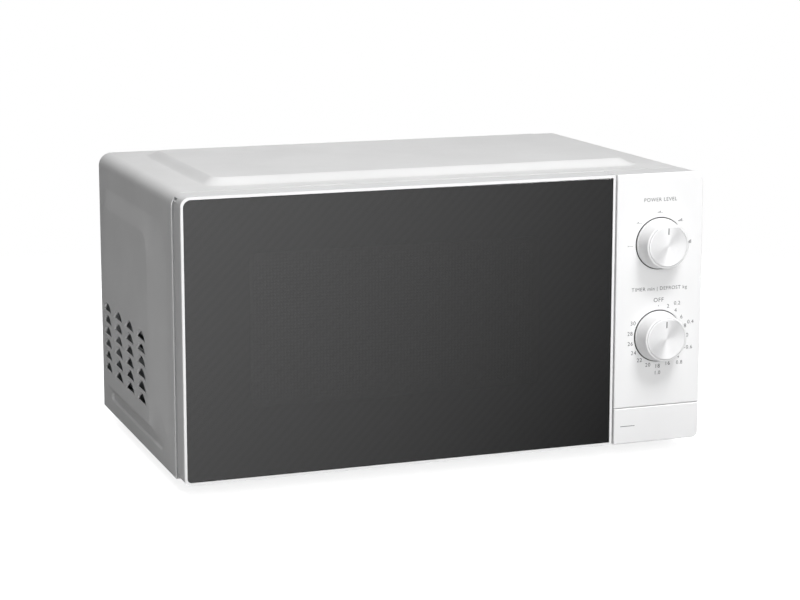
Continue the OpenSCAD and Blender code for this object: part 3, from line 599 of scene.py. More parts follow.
def rect_distance(a, b, box, radii):
    """Signed distance from a rounded rectangle, below nothing inside it. radii: two lower, two upper."""
    x0, y0, x1, y1 = box
    cx, cy = (x0 + x1) / 2, (y0 + y1) / 2
    low_left, low_right, up_right, up_left = radii
    lower = np.where(a < cx, low_left, low_right)
    upper = np.where(a < cx, up_left, up_right)
    r = np.where(b < cy, lower, upper)
    dx = np.abs(a - cx) - (x1 - x0) / 2 + r
    dy = np.abs(b - cy) - (y1 - y0) / 2 + r
    outside = np.hypot(np.maximum(dx, 0), np.maximum(dy, 0))
    return outside + np.minimum(np.maximum(dx, dy), 0) - r


def pressed(a, b, foot, foot_radii, crown, crown_radii):
    """How far a pressed panel has risen, from 0 at its foot to 1 on its crown."""
    from_foot = np.maximum(-rect_distance(a, b, foot, foot_radii), 0)
    to_crown = np.maximum(rect_distance(a, b, crown, crown_radii), 0)
    return ease(from_foot / (from_foot + to_crown + 1e-9), 0.3)


def side_relief(y, z):
    """How far the casing's side stands out of its plane."""
    rear = CASING[4]
    panel = pressed(
        y, z, (46, 20, rear - 12, FRONT_H - 27), (8, 8, 24, 34),
        (100, 25, rear - 26, FRONT_H - 43), (4, 4, 12, 16))
    bead = ease(-rect_distance(y, z, (70, 10.5, rear - 33, 19), (4, 4, 4, 4)) / 1.5, 0.4)
    return SIDE_LIFT * panel - 1.7 * bead


def top_relief(x, y):
    """How far the casing's top stands out of its plane."""
    return TOP_LIFT * pressed(
        x, y, (34, 47, FRONT_W - 32, CASING[4] - 21), (16, 16, 16, 16),
        (44, 63, FRONT_W - 43, CASING[4] - 37), (8, 8, 8, 8))


def arch_height(y):
    """Height of the louvres' arch at a depth y, close to nothing between the louvres."""
    height = np.full_like(y, 0.0)
    for column in range(VENT_COLUMNS):
        off = y - (VENT_Y0 + VENT_W / 2 + column * VENT_PITCH_Y)
        arch = VENT_H - VENT_R + np.sqrt(np.maximum(VENT_R ** 2 - off ** 2, 0))
        height = np.maximum(height, np.where(np.abs(off) < VENT_W / 2, arch, 0))
    return height


def casing_lines(depths):
    """The sheet's lines from the left flange to the right one.

    Each is (x, z, normal x, normal z, relief), where z and relief are rows along the depths.
    """
    even = np.ones_like(depths)
    low = CASING[2]
    flange, fold = 8.0, 1.4
    arch = arch_height(depths)
    rows = []

    def side(x, sign, vents):
        found = []
        bottom = low + fold
        bands = [(z, 0 * even) for z in lines((bottom, 9.5, 1.6), (9.5, 26, 0.5), (26, 36, 1.6))]
        if vents:
            hood = [0.0, 0.25, 0.5, 0.7, 0.85, 0.94, 0.985, 1.0]
            for row in range(VENT_ROWS):
                base = VENT_Z0 + row * VENT_PITCH_Z
                rise = np.maximum(arch, VENT_SEAM)
                bands.append((base * even, 0 * even))
                for part in hood:
                    dip = VENT_DEPTH * np.sqrt(arch / VENT_H) * (1 - part)
                    bands.append((base + (VENT_MOUTH + (1 - VENT_MOUTH) * part) * rise, dip))
                above = base + rise
                bands.append(((above + base + VENT_PITCH_Z) / 2, 0 * even))
            start = VENT_Z0 + VENT_ROWS * VENT_PITCH_Z
        else:
            start = 38.0
        bands += [(z, 0 * even) for z in lines((start, 176, 3), (176, 200, 1.2), (200, FRONT_H - CASING_R, 2.4))]
        for z, dip in bands:
            height = z * even
            found.append((x * even, height, sign, 0.0, side_relief(depths, height) - dip))
        return found

    def folded(sign, edge, inner):
        found = []
        for x in np.linspace(inner, edge + sign * -fold, 4):
            found.append((x * even, low * even, 0.0, -1.0, 0 * even))
        for i in range(1, 4):
            a = math.radians(90 * i / 4)
            found.append((
                (edge - sign * fold + sign * fold * math.sin(a)) * even,
                (low + fold - fold * math.cos(a)) * even,
                sign * math.sin(a), -math.cos(a), 0 * even))
        return found

    def bend(cx, start):
        found = []
        for i in range(1, 12):
            a = math.radians(start - 90 * i / 12)
            found.append((
                (cx + CASING_R * math.cos(a)) * even, (FRONT_H - CASING_R + CASING_R * math.sin(a)) * even,
                math.cos(a), math.sin(a), 0 * even))
        return found

    rows += folded(-1, 0, flange)
    rows += side(0, -1, True)
    rows += bend(CASING_R, 180)
    across = lines(
        (CASING_R, 32, 3), (32, 50, 0.9), (50, 390, 5), (390, 410, 0.9), (410, FRONT_W - CASING_R, 3))
    for x in across:
        rows.append((x * even, FRONT_H * even, 0.0, 1.0, top_relief(x * even, depths)))
    rows += bend(FRONT_W - CASING_R, 90)
    rows += side(FRONT_W, 1, False)[::-1]
    rows += folded(1, FRONT_W, FRONT_W - flange)[::-1]
    return rows


def build_casing():
    rear = CASING[4]
    columns = []
    for column in range(VENT_COLUMNS):
        start = VENT_Y0 + column * VENT_PITCH_Y
        columns += [start + VENT_W * (1 - math.cos(math.pi * i / 22)) / 2 for i in range(23)]
        columns += [start + VENT_W + 3.5, start + VENT_W + 7.2]
    columns = [y for y in columns if y < 262]
    depths = np.array(
        [CASING[1], CASING[1] + 0.6] + lines((30, 44, 1.6), (44, 68, 0.9), (68, 108, 1.6))
        + columns + lines((264, 281, 1.1)) + [282.0])
    rows = casing_lines(depths)
    fold_in = [(0.25, 0.93), (0.6, 0.75), (0.87, 0.5), (1.0, 0.0)]
    grid = []
    for x, z, nx, nz, relief in rows:
        line = [
            (x[i] + nx * relief[i], y, z[i] + nz * relief[i]) for i, y in enumerate(depths)
        ]
        tail_x, tail_z, lift = x[-1], z[-1], relief[-1]
        for share, up in fold_in:
            out = lift - 1 + up if lift < 0.01 else lift * (0.3 + 0.7 * up) - 1 + up
            line.append((tail_x + nx * out, 282.0 + share * (rear - 282.0), tail_z + nz * out))
        flange = 10.6 * abs(nx) + 4.4 * max(nz, 0)
        for part in (0.4, 1.0):
            line.append((tail_x - nx * (1 + part * (flange - 1)), rear, tail_z - nz * (1 + part * (flange - 1))))
        grid.append(line)
    width = len(grid[0])
    arch = arch_height(depths)
    faces = []
    for r in range(len(grid) - 1):
        slot_row = is_slot(rows, r)
        for i in range(width - 1):
            if slot_row and i < len(depths) - 1 and min(arch[i], arch[i + 1]) > 0.9:
                continue
            a = r * width + i
            faces.append([a, a + width, a + width + 1, a + 1])
    shape = Shape().add([p for line in grid for p in line], faces)
    piece = make(
        "cabinet_casing", shape, "cabinet", MATERIALS["casing_paint"],
        ["cabinet_wrap"], closed=False)
    return piece


def is_slot(rows, r):
    """True in a louvre's mouth, between the sheet's edge below it and the lip of its hood."""
    gap = rows[r + 1][1][0] - rows[r][1][0]
    return abs(gap - VENT_MOUTH * VENT_SEAM) < 1e-6


casing = build_casing()
thicken(casing, SHEET)


# ---- Door ----

BEZEL_IN = GLASS[0] - DOOR[0] - 0.1
GLASS_BACK = GLASS[4]


def corner_radii(box_inset):
    """The door front's corner radii at an inset: lower left, lower right, upper right, upper left."""
    return [max(r - box_inset, 0.2) for r in (5.5, 0.8, 0.8, 8.0)]


def build_glass():
    """The front glass: clear slab in the window, black ink on its back all round it."""
    x0, y0, z0, x1, y1, z1 = GLASS
    radii = [3.4, 0.4, 0.4, 5.9]
    box = (x0, z0, x1, z1)
    edge = 0.5
    back = y1 - 0.08
    rings = [front_ring(inset_rect(box, 0.15, radii), back)]
    rings.append(front_ring(inset_rect(box, 0.0, radii), back - 0.15))
    for i in range(5):
        a = math.radians(90 * i / 4)
        rings.append(front_ring(inset_rect(box, edge * (1 - math.cos(a)), radii), y0 + edge * (1 - math.sin(a))))
    shape = Shape().loft(rings)
    shape.flat([rings[-1]])
    window = front_ring(rounded(*WINDOW, [7] * 4), back)
    shape.flat([rings[0], window], finish=1)
    shape.flat([window])
    return make(
        "door_front_glass", shape, "door", [MATERIALS["door_glass"], MASK], ["door_glass"])


def build_door_plate():
    """The pressed plate behind the glass: a choke channel round a perforated screen."""
    x0, y0, z0, x1, y1, z1 = edges("door_plate")
    screen = (25.0, 17.0, 332.0, 212.0)
    screen_y = 19.5
    rings = []
    for inset, y in ((0, y1 - 0.3), (0, y0 + 1.6), (0.5, y0 + 0.8), (1.6, y0 + 0.4)):
        rings.append(front_ring(inset_rect((x0, z0, x1, z1), inset, [4] * 4), y))
    for inset, y in ((-1.6, y0 + 0.4), (-0.5, y0 + 0.8), (0, y0 + 1.8), (0, screen_y - 1.4), (0.5, screen_y - 0.4), (1.6, screen_y)):
        rings.append(front_ring(inset_rect(screen, inset, [6] * 4), y))
    field = perforated_field()
    rings.append(front_ring([(x, z) for x, z in rounded(*field, [0.01] * 4)], screen_y))
    shape = Shape().loft(rings)
    plate = make(
        "door_pressed_plate", shape, "door", MATERIALS["screen_paint"], ["door_plate"],
        closed=False)
    thicken(plate, 0.9, 0.0)
    return plate


HOLE_PITCH = 2.7
HOLE_R = 0.95


def perforated_field():
    """The field of holes, a whole number of pitches that fills the window."""
    x0, z0, x1, z1 = WINDOW
    across = round((x1 - x0) / HOLE_PITCH)
    up = round((z1 - z0) / HOLE_PITCH)
    cx, cz = (x0 + x1) / 2, (z0 + z1) / 2
    half_x, half_z = across * HOLE_PITCH / 2, up * HOLE_PITCH / 2
    return (cx - half_x, cz - half_z, cx + half_x, cz + half_z)


def build_screen():
    """The perforated screen: a square cell round each hole, all joined edge to edge."""
    x0, z0, x1, z1 = perforated_field()
    sides = 8
    hole = [(HOLE_R * math.cos(a), HOLE_R * math.sin(a)) for a in
            (2 * math.pi * (i + 0.5) / sides for i in range(sides))]
    reach = HOLE_PITCH / 2
    rim = []
    for a, b in hole:
        grow = reach / max(abs(a), abs(b))
        rim.append((a * grow, b * grow))
    rim = [(round(a, 4), round(b, 4)) for a, b in rim]
    cell = []
    for i in range(sides):
        j = (i + 1) % sides
        cell.append([i, j, sides + j, sides + i])
    shape = Shape()
    across = round((x1 - x0) / HOLE_PITCH)
    up = round((z1 - z0) / HOLE_PITCH)
    corner_points = [(reach, reach), (-reach, reach), (-reach, -reach), (reach, -reach)]
    corner_faces = [
        [sides + 2 * k, 2 * sides + k, sides + 2 * k + 1] for k in range(4)
    ]
    for row in range(up):
        for column in range(across):
            cx = x0 + (column + 0.5) * HOLE_PITCH
            cz = z0 + (row + 0.5) * HOLE_PITCH
            points = [(cx + a, 19.5, cz + b) for a, b in hole + rim + corner_points]
            shape.add(points, cell + corner_faces)
    screen = make(
        "door_screen", shape, "door", MATERIALS["screen_paint"], closed=False)
    thicken(screen, 0.5, 0.0, sharp=50)
    return screen


def build_film():
    """The clear film over the screen, heat-formed flat, with a narrow hemmed edge."""
    x0, y0, z0, x1, y1, z1 = edges("window_film")
    box = (x0, z0, x1, z1)
    rings = [front_ring(inset_rect(box, i, [5] * 4), y) for i, y in ((0.08, y1), (0, y1 - 0.1), (0, y0 + 0.1), (0.08, y0))]
    shape = Shape().loft(rings, cap_first=True, cap_last=True)
    return make("window_film_sheet", shape, "door", MATERIALS["window_film"], ["window_film"])


def build_choke_cover():
    """The dark ring that closes the choke, with a sloped lip round the window."""
    x0, y0, z0, x1, y1, z1 = edges("choke_cover")
    outer = (x0, z0, x1, z1)
    inner = (36.0, 30.0, 321.0, 200.0)
    rings = [front_ring(inset_rect(outer, 0.0, [3] * 4), y0)]
    rings.append(front_ring(inset_rect(outer, 0.0, [3] * 4), y1 - 0.6))
    rings.append(front_ring(inset_rect(outer, 0.2, [3] * 4), y1 - 0.2))
    rings.append(front_ring(inset_rect(outer, 0.7, [3] * 4), y1))
    for inset, y in ((-5.0, y1), (-4.2, y1 - 0.15), (-0.6, y1 - 1.3), (0.0, y1 - 1.6), (0.0, y0)):
        rings.append(front_ring(inset_rect(inner, inset, [7] * 4), y))
    rings.append(rings[0])
    shape = Shape().loft(rings)
    return make("choke_ring", shape, "door", MATERIALS["black_plastic"], ["choke_cover"])


# ---- Control panel ----

KNOBS = {name: edges(name) for name in ("power_knob", "timer_knob")}
KNOB_X = (KNOBS["power_knob"][0] + KNOBS["power_knob"][3]) / 2
KNOB_R = (KNOBS["power_knob"][3] - KNOBS["power_knob"][0]) / 2
POWER_Z, TIMER_Z = [(box[2] + box[5]) / 2 for box in KNOBS.values()]
BUTTON = edges("release_button")
SEAM_Z = BUTTON[5] + 0.4


def circle(cx, cz, radius, y, steps=72):
    return front_ring(arc(cx, cz, radius, 0, 360 - 360 / steps, steps - 1), y)


def build_panel():
    """The moulded panel: a shell with two shallow dishes for the dials, and a skirt round the button."""
    x0, y0, z0, x1, y1, z1 = PANEL
    box = (x0, SEAM_Z, x1, z1)
    radii = [0.6, 0.6, 10.0, 1.0]
    edge = 0.9
    wall = 2.0
    rings = [front_ring(inset_rect(box, 0, radii), y1)]
    for i in range(6):
        a = math.radians(90 * i / 5)
        rings.append(front_ring(inset_rect(box, edge * (1 - math.cos(a)), radii), y0 + edge * (1 - math.sin(a))))
    inside = [front_ring(inset_rect(box, wall, radii), y) for y in (y0 + wall, y1)]
    shape = Shape().loft(rings)
    dishes = []
    for z in (POWER_Z, TIMER_Z):
        lip, floor_y = KNOB_R + 0.8, y0 + 1.5
        dish = [circle(KNOB_X, z, lip + 0.25, y0), circle(KNOB_X, z, lip + 0.06, y0 + 0.07),
                circle(KNOB_X, z, lip, y0 + 0.25), circle(KNOB_X, z, lip, floor_y), circle(KNOB_X, z, 4, floor_y),
                circle(KNOB_X, z, 4, y0 + wall)]
        shape.loft(dish)
        dishes.append(dish)
    shape.flat([rings[-1], dishes[0][0], dishes[1][0]])
    shape.flat([inside[0], dishes[0][-1], dishes[1][-1]])
    shape.loft([inside[0], inside[1], rings[0]])
    skirt = (x0, 0.0, x1, SEAM_Z + 0.6)
    skirt_y = BUTTON[1] + 11.2
    skirt_radii = [0.8, 5.0, 0.4, 0.4]
    shape.loft([
        front_ring(inset_rect(skirt, 2.2, skirt_radii), y1), front_ring(inset_rect(skirt, 0, skirt_radii), y1),
        front_ring(inset_rect(skirt, 0, skirt_radii), skirt_y + 0.4),
        front_ring(inset_rect(skirt, 0.4, skirt_radii), skirt_y),
        front_ring(inset_rect(skirt, 2.2, skirt_radii), skirt_y),
        front_ring(inset_rect(skirt, 2.2, skirt_radii), y1)])
    back = circle(KNOB_X, 16.0, 3.6, y1 - 0.3, 32)
    fore = circle(KNOB_X, 16.0, 3.6, y1 - 2, 32)
    web = inset_rect(skirt, 1.2, skirt_radii)
    shape.flat([front_ring(web, y1 - 0.3), back])
    shape.flat([front_ring(web, y1 - 2), fore])
    shape.loft([front_ring(web, y1 - 0.3), front_ring(web, y1 - 2)])
    shape.loft([fore, back])
    return make("panel_moulding", shape, "cabinet", WHITE_PLASTIC, ["control_panel"])


def build_button():
    """The release bar: a flush face on a hollow sleeve, with the stem that pushes the lever."""
    x0, y0, z0, x1, y1, z1 = BUTTON
    box = (x0, z0, x1, z1)
    radii = [0.8, 5.0, 0.4, 0.4]
    edge = 0.9
    face_y, sleeve_y, sleeve_in = 5.8, 16.0, 2.7
    rings = [front_ring(inset_rect(box, sleeve_in + 1.5, radii), y) for y in (face_y - 3.4, sleeve_y)]
    rings += [front_ring(inset_rect(box, sleeve_in, radii), y) for y in (sleeve_y, face_y)]
    rings += [front_ring(inset_rect(box, i, radii), y) for i, y in ((0.3, face_y), (0, face_y - 0.3))]
    for i in range(6):
        a = math.radians(90 * i / 5)
        rings.append(front_ring(inset_rect(box, edge * (1 - math.cos(a)), radii), y0 + edge * (1 - math.sin(a))))
    shape = Shape().loft(rings, cap_first=True, cap_last=True)
    stem = [(0, 2), (3.5, 2), (3.5, y1 - 0.8), (2.7, y1), (0, y1)]
    shape.lathe(stem, facing(KNOB_X, 16.0), 32)
    shape.block(x0 + 3.8, 2.0, 9.0, x0 + 8.8, y1 - 1.2, 15.0)
    return make("release_bar", shape, "release_button", WHITE_PLASTIC, ["release_button"])


def build_knob(name, z):
    """A tapered knob with a skirt, a soft rim round the metal cap, and its hub behind."""
    face = -KNOBS[name][1]
    profile = [(0, -3.0), (5.5, -3.0), (5.5, -0.6), (8.0, -0.6), (8.0, -9.0), (16.5, -9.0)]
    profile += [(KNOB_R - 2.2, 0.2), (KNOB_R - 0.3, 0.2), (KNOB_R, -0.1), (KNOB_R, -1.2)]
    profile += [(KNOB_R - 0.12, -1.55), (KNOB_R - 0.5, -1.8), (KNOB_R - 0.62, -2.2)]
    profile += [(KNOB_R - 0.62 - 1.5 * t, -2.2 - (face - 3.6) * t) for t in (0.33, 0.66, 1.0)]
    rim_r = 1.3
    cx, cy = KNOB_R - 2.12 - rim_r, -(face - rim_r)
    profile += [(cx + rim_r * math.cos(a), cy - rim_r * math.sin(a)) for a in
                (math.radians(15 * i) for i in range(1, 7))]
    profile += [(17.25, -face), (17.1, -face + 0.15), (17.1, -face + 1.0), (0, -face + 1.0)]
    shape = Shape().lathe(profile, facing(KNOB_X, z), 144)
    return make(f"{name}_body", shape, name, WHITE_PLASTIC, [name], sharp=38)


def build_painted_shade_ring(name, z):
    """A thin black ring in the dish behind a knob: painted shade that makes the gap round the knob's skirt read dark.
    """
    outer, near, far = KNOB_R + 0.75, 0.9, 1.5
    profile = [(12, far), (outer, far), (outer, near + 0.15), (outer - 0.15, near), (12.2, near), (12, near + 0.15), (12, far)]
    shape = Shape().lathe(profile, facing(KNOB_X, z), 96)
    # black rubber-coloured ring standing in for the shade in the gap behind the knob
    return make(f"{name}_painted_shade_ring", shape, "cabinet", MATERIALS["foot_rubber"])


def build_cap(name, z):
    """The spun metal disc let into the knob's face, slightly dished, with its printed pointer."""
    cap = edges(f"{name}_cap")
    radius = (cap[3] - cap[0]) / 2
    face = cap[1]
    profile = [(0, face + 1.5), (radius, face + 1.5), (radius, face + 0.35), (radius - 0.1, face + 0.12)]
    profile += [(radius - 0.35, face), (radius - 0.8, face + 0.02)]
    profile += [((radius - 0.8) * (1 - t), face + 0.02 + 0.22 * math.sin(math.pi * t / 2)) for t in (0.25, 0.5, 0.75, 1)]
    rings = []
    for r, h in profile:
        rings.append([(r * math.cos(a), h, r * math.sin(a)) for a in (2 * math.pi * i / 144 for i in range(144))])
    shape = Shape().loft(rings)
    disc = make(f"{name}_disc", shape, name, MATERIALS["spun_metal"], [f"{name}_cap"], sharp=38)
    centre = at(KNOB_X, 0, z)
    for v in disc.data.vertices:
        v.co -= FRONT_CORNER
    disc.location = centre
    pointer = Shape()
    tip, tail, half = radius - 2.2, radius - 7.6, 0.42
    outline = rounded(-half, tail, half, tip, [half] * 4, 5)
    lift = lambda px, pz: face + 0.02 + 0.22 * math.sin(math.pi * (1 - math.hypot(px, pz) / (radius - 0.8)) / 2)
    top = [(KNOB_X + px, lift(px, pz) - 0.05, z + pz) for px, pz in outline]
    low = [(KNOB_X + px, lift(px, pz) + 0.12, z + pz) for px, pz in outline]
    pointer.loft([low, top], cap_first=True, cap_last=True)
    make(f"{name}_pointer", pointer, name, INK, sharp=50)
    return disc


# ---- Printing on the panel ----

INK_PROUD = 0.04


def lettering(text, size, x, z, spin=0.0):
    """The outline of some letters as a mesh in millimetres, middle at x and z."""
    curve = bpy.data.curves.new("lettering", "FONT")
    curve.body = text
    curve.size = size
    curve.align_x = "CENTER"
    curve.align_y = "CENTER"
    curve.space_character = 1.12
    curve.resolution_u = 3
    holder = bpy.data.objects.new("lettering", curve)
    bpy.context.scene.collection.objects.link(holder)
    bpy.context.view_layer.update()
    mesh = bpy.data.meshes.new_from_object(holder.evaluated_get(bpy.context.evaluated_depsgraph_get()))
    a = math.radians(spin)
    points = []
    for v in mesh.vertices:
        px, pz = v.co.x, v.co.y
        points.append((x + px * math.cos(a) - pz * math.sin(a), -INK_PROUD, z + px * math.sin(a) + pz * math.cos(a)))
    faces = [list(p.vertices) for p in mesh.polygons]
    bpy.data.objects.remove(holder)
    bpy.data.meshes.remove(mesh)
    bpy.data.curves.remove(curve)
    return points, faces


def round_dial(z, radius, angle):
    """A place on the panel round a dial, by its clockwise angle from the top."""
    a = math.radians(angle)
    return KNOB_X + radius * math.sin(a), z + radius * math.cos(a)


def bar(shape, x0, z0, x1, z1):
    outline = rounded(x0, z0, x1, z1, [min(x1 - x0, z1 - z0) / 2 - 0.01] * 4, 3)
    shape.flat([[(x, -INK_PROUD, z) for x, z in outline]])


def build_printing():
    """The dials' scales, the headings and the mark on the release bar."""
    timer = Shape()
    minutes = [("2", 20), ("4", 38), ("6", 56), ("8", 75), ("10", 93), ("12", 115), ("14", 137), ("16", 159),
               ("18", 180), ("20", 200), ("22", 220), ("24", 239), ("26", 258), ("28", 277), ("30", 297)]
    for text, angle in minutes:
        timer.add(*lettering(text, 4.6, *round_dial(TIMER_Z, 25.6, angle)))
    for text, angle in (("0.2", 33), ("0.4", 72), ("0.6", 112), ("0.8", 140), ("1.0", 180)):
        timer.add(*lettering(text, 4.4, *round_dial(TIMER_Z, 31.2, angle)))
    timer.add(*lettering("OFF", 5.0, KNOB_X, TIMER_Z + 29.8))
    bar(timer, KNOB_X - 0.3, TIMER_Z + 24.6, KNOB_X + 0.3, TIMER_Z + 25.6)
    timer.add(*lettering("TIMER min | DEFROST kg", 4.2, KNOB_X + 0.5, TIMER_Z + 39.4))
    make("timer_scale", timer, "cabinet", INK, closed=False)
    power = Shape()
    power.add(*lettering("POWER LEVEL", 4.3, KNOB_X, POWER_Z + 36))
    for step, angle in enumerate((-90, -45, 0, 45, 90)):
        x, z = round_dial(POWER_Z, 26.4, angle)
        for i in range(5):
            height = 0.8 + 0.55 * i if i <= step else 0.45
            bar(power, x - 2.4 + i, z - 1.4, x - 1.85 + i, z - 1.4 + height)
    make("power_scale", power, "cabinet", INK, closed=False)
    mark = Shape()
    outline = rounded(368.5, 14.5, 381.6, 15.0, [0.24] * 4, 4)
    mark.flat([[(x, -INK_PROUD, z) for x, z in outline]])
    make("release_mark", mark, "release_button", INK, closed=False)


# ---- Turntable ----

def build_turntable():
    """The glass plate: dished rim, two cast rings under it, and the three lugs that the coupler turns."""
    x, y = SPINDLE
    radius = (PLATE[3] - PLATE[0]) / 2
    top, low = PLATE[5], PLATE[5] - 13.0
    profile = [(0, low), (38, low), (39, low - 0.25), (41, low - 0.25), (42, low), (78, low), (79, low - 0.25),
               (82, low - 0.25), (83, low), (radius - 13, low), (radius - 10, low + 0.5), (radius - 7, low + 1.8),
               (radius - 4.6, low + 4), (radius - 2.4, low + 7.4), (radius - 0.4, low + 10.6), (radius, low + 11.6),
               (radius - 0.3, low + 12.6), (radius - 1.4, top), (radius - 2.8, low + 12.7), (radius - 3.9, low + 11.7),
               (radius - 6.2, low + 8.2), (radius - 9, low + 5.6), (radius - 12, low + 4.7), (radius - 15, low + 4.5),
               (0, low + 4.5)]
    shape = Shape().lathe(profile, upright(x, y), 160)
    plate = make("turntable_glass", shape, "turntable", MATERIALS["plate_glass"], ["turntable_plate"], sharp=60)
    lugs = Shape()
    for turn in (60, 180, 300):
        a = math.radians(turn)
        along, across = Vector((math.cos(a), math.sin(a))), Vector((-math.sin(a), math.cos(a)))
        rings = []
        for inset, z in ((0.9, low - 4), (0.2, low - 3.4), (0, low - 0.1)):
            outline = rounded(11 + inset, -3 + inset, 17 - inset, 3 - inset, [1.2] * 4, 4)
            rings.append([(x + along.x * u + across.x * v, y + along.y * u + across.y * v, z) for u, v in outline])
        lugs.loft(rings, cap_first=True, cap_last=True)
    make("turntable_lugs", lugs, "turntable", MATERIALS["plate_glass"])
    return plate


def build_wheels():
    """The three rollers: a crowned tread on a hub that turns on the ring's spokes."""
    x, y = SPINDLE
    reach, half = 88.0, 4.0
    for number in (1, 2, 3):
        name = f"roller_wheel_{number}"
        box = edges(name)
        cz = (box[2] + box[5]) / 2
        radius = (box[5] - box[2]) / 2
        a = math.atan2((box[1] + box[4]) / 2 - y, (box[0] + box[3]) / 2 - x)
        out, side = (math.cos(a), math.sin(a)), (-math.sin(a), math.cos(a))
        place = lambda u, v, h, out=out, side=side, cz=cz: (
            x + out[0] * (reach + h) + side[0] * u, y + out[1] * (reach + h) + side[1] * u, cz + v)
        profile = [(1.55, -half), (2.8, -half), (3.0, -half + 0.9), (5.4, -half + 0.9), (5.7, -half), (radius - 0.7, -half),
                   (radius - 0.15, -half + 0.4), (radius, -half + 1.4), (radius, half - 1.4), (radius - 0.15, half - 0.4),
                   (radius - 0.7, half), (5.7, half), (5.4, half - 0.9), (3.0, half - 0.9), (2.8, half), (1.55, half),
                   (1.55, -half)]
        shape = Shape().lathe(profile, place, 56)
        make(f"{name}_tyre", shape, name, MATERIALS["cream_plastic"], [name])


# ---- Feet and springs ----

def build_feet():
    """Four rubber feet: a waisted boot with a ring pressed into its sole, and its plug above."""
    box = edges("feet")
    low = box[2]
    shape = Shape()
    for x in (box[0] + 14, box[3] - 14):
        for y in (box[1] + 14, box[4] - 14):
            profile = [(0, low + 1.0), (5.5, low + 1.0), (6.0, low + 0.3), (6.8, low), (10.4, low), (11.0, low + 0.5),
                       (11.3, low + 2), (11.5, low + 5.4), (12.4, low + 6.6), (12.9, low + 8.6), (13.6, low + 10.6),
                       (13.9, low + 11.2), (13.8, low + 11.7), (4.4, low + 11.7), (4.4, low + 14.2), (3.9, low + 14.7),
                       (0, low + 14.7)]
            shape.lathe(profile, upright(x, y), 48)
    return make("rubber_feet", shape, "cabinet", MATERIALS["foot_rubber"], ["feet"], sharp=42)


def helix(start, end, radius, wire, turns, place):
    """A spring of round wire between two heights, its coils closer at both ends."""
    steps = int(turns * 20)
    rings = []
    for i in range(steps + 1):
        t = i / steps
        closed_ends = t - 0.6 * math.sin(2 * math.pi * t) / (2 * math.pi)
        middle = start + wire + (end - start - 2 * wire) * closed_ends
        a = 2 * math.pi * turns * t
        ring = []
        for k in range(10):
            b = 2 * math.pi * k / 10
            out = radius + wire * math.cos(b)
            ring.append(place(out * math.cos(a), out * math.sin(a), middle + wire * math.sin(b)))
        rings.append(ring)
    return Shape().loft(rings, cap_first=True, cap_last=True)


def build_springs():
    """The release bar's return spring, on the bar; the hooks' spring stays on the door."""
    box = edges("button_spring")
    x, z = (box[0] + box[3]) / 2, (box[2] + box[5]) / 2
    wire = 0.45
    shape = helix(box[1], box[4], (box[3] - box[0]) / 2 - wire, wire, 7, facing(x, z))
    spring = make(
        "button_return_spring", shape, "release_button", MATERIALS["spring_steel"], ["button_spring"],
        sharp=60)
    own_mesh(spring)


# ---- Cavity, rear panel and other sheet metal, softened from their CAD solids ----

def softened(node, name, width, picks=(), slot_name=None):
    """A CAD node's solid with flat faces made whole, every edge eased, and chosen edges rounded more.

    picks are (test, radius, segments): test takes an edge's middle and direction in millimetres.
    """
    source = frame["nodes"][node]
    slot_name = slot_name or source.data.materials[0].name.split(".")[0]
    mesh = source.data.copy()
    mesh.name = name
    work = bmesh.new()
    work.from_mesh(mesh)
    bmesh.ops.remove_doubles(work, verts=work.verts, dist=2e-6)
    bmesh.ops.dissolve_limit(work, angle_limit=math.radians(0.5), verts=work.verts, edges=work.edges)
    for test, radius, segments in picks:
        chosen = []
        for edge in work.edges:
            if not edge.is_manifold or edge.calc_face_angle(0) < math.radians(40):
                continue
            a, b = [(v.co - FRONT_CORNER) / MM for v in edge.verts]
            if test((a + b) / 2, (b - a).normalized()):
                chosen.append(edge)
        bmesh.ops.bevel(
            work, geom=chosen, offset=radius * MM, segments=segments, profile=0.5, affect="EDGES",
            clamp_overlap=False)
    work.to_mesh(mesh)
    work.free()
    clear_normals(mesh)
    mesh.materials.clear()
    mesh.materials.append(MATERIALS[slot_name])
    piece = bpy.data.objects.new(name, mesh)
    bpy.context.scene.collection.objects.link(piece)
    body = source["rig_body"]
    ease_edges(piece, width)
    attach(piece, body)
    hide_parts(node)
    return piece


def clear_normals(mesh):
    """Drops the imported corner normals, so that shading follows the shape."""
    if "custom_normal" in mesh.attributes:
        mesh.attributes.remove(mesh.attributes["custom_normal"])
    for name in ("sharp_face", "sharp_edge"):
        if name in mesh.attributes:
            mesh.attributes.remove(mesh.attributes[name])
    mesh.shade_smooth()


def ease_edges(piece, width, angle=32):
    """Eases every sharp edge a little, and shades flat faces flat."""
    bevel = piece.modifiers.new("eased edges", "BEVEL")
    bevel.width = width * MM
    bevel.segments = 2
    bevel.limit_method = "ANGLE"
    bevel.angle_limit = math.radians(angle)
    bevel.use_clamp_overlap = True
    bevel.harden_normals = True


def cavity_picks():
    x0, y0, z0, x1, y1, z1 = edges("oven_cavity")
    near = lambda v, targets: any(abs(v - t) < 0.02 for t in targets)
    long_edge = lambda m, d: (
        abs(d.y) > 0.99 and near(m.x, (x0 + 1, x1 - 1)) and near(m.z, (z0 + 1, z1 - 1)))
    back_edge = lambda m, d: near(m.y, (y1 - 1,)) and (near(m.x, (x0 + 1, x1 - 1)) or near(m.z, (z0 + 1, z1 - 1)))
    return [(lambda m, d: long_edge(m, d) or back_edge(m, d), 4.0, 5)]


def pan_picks():
    x0, y0, z0, x1, y1, z1 = edges("rear_panel")
    out = lambda m, d: m.y > y1 - 0.05 or (abs(d.y) > 0.99 and m.y > y0 + 4 and m.x < 337 and m.z < FRONT_H - 2)
    return [(out, 0.9, 3)]


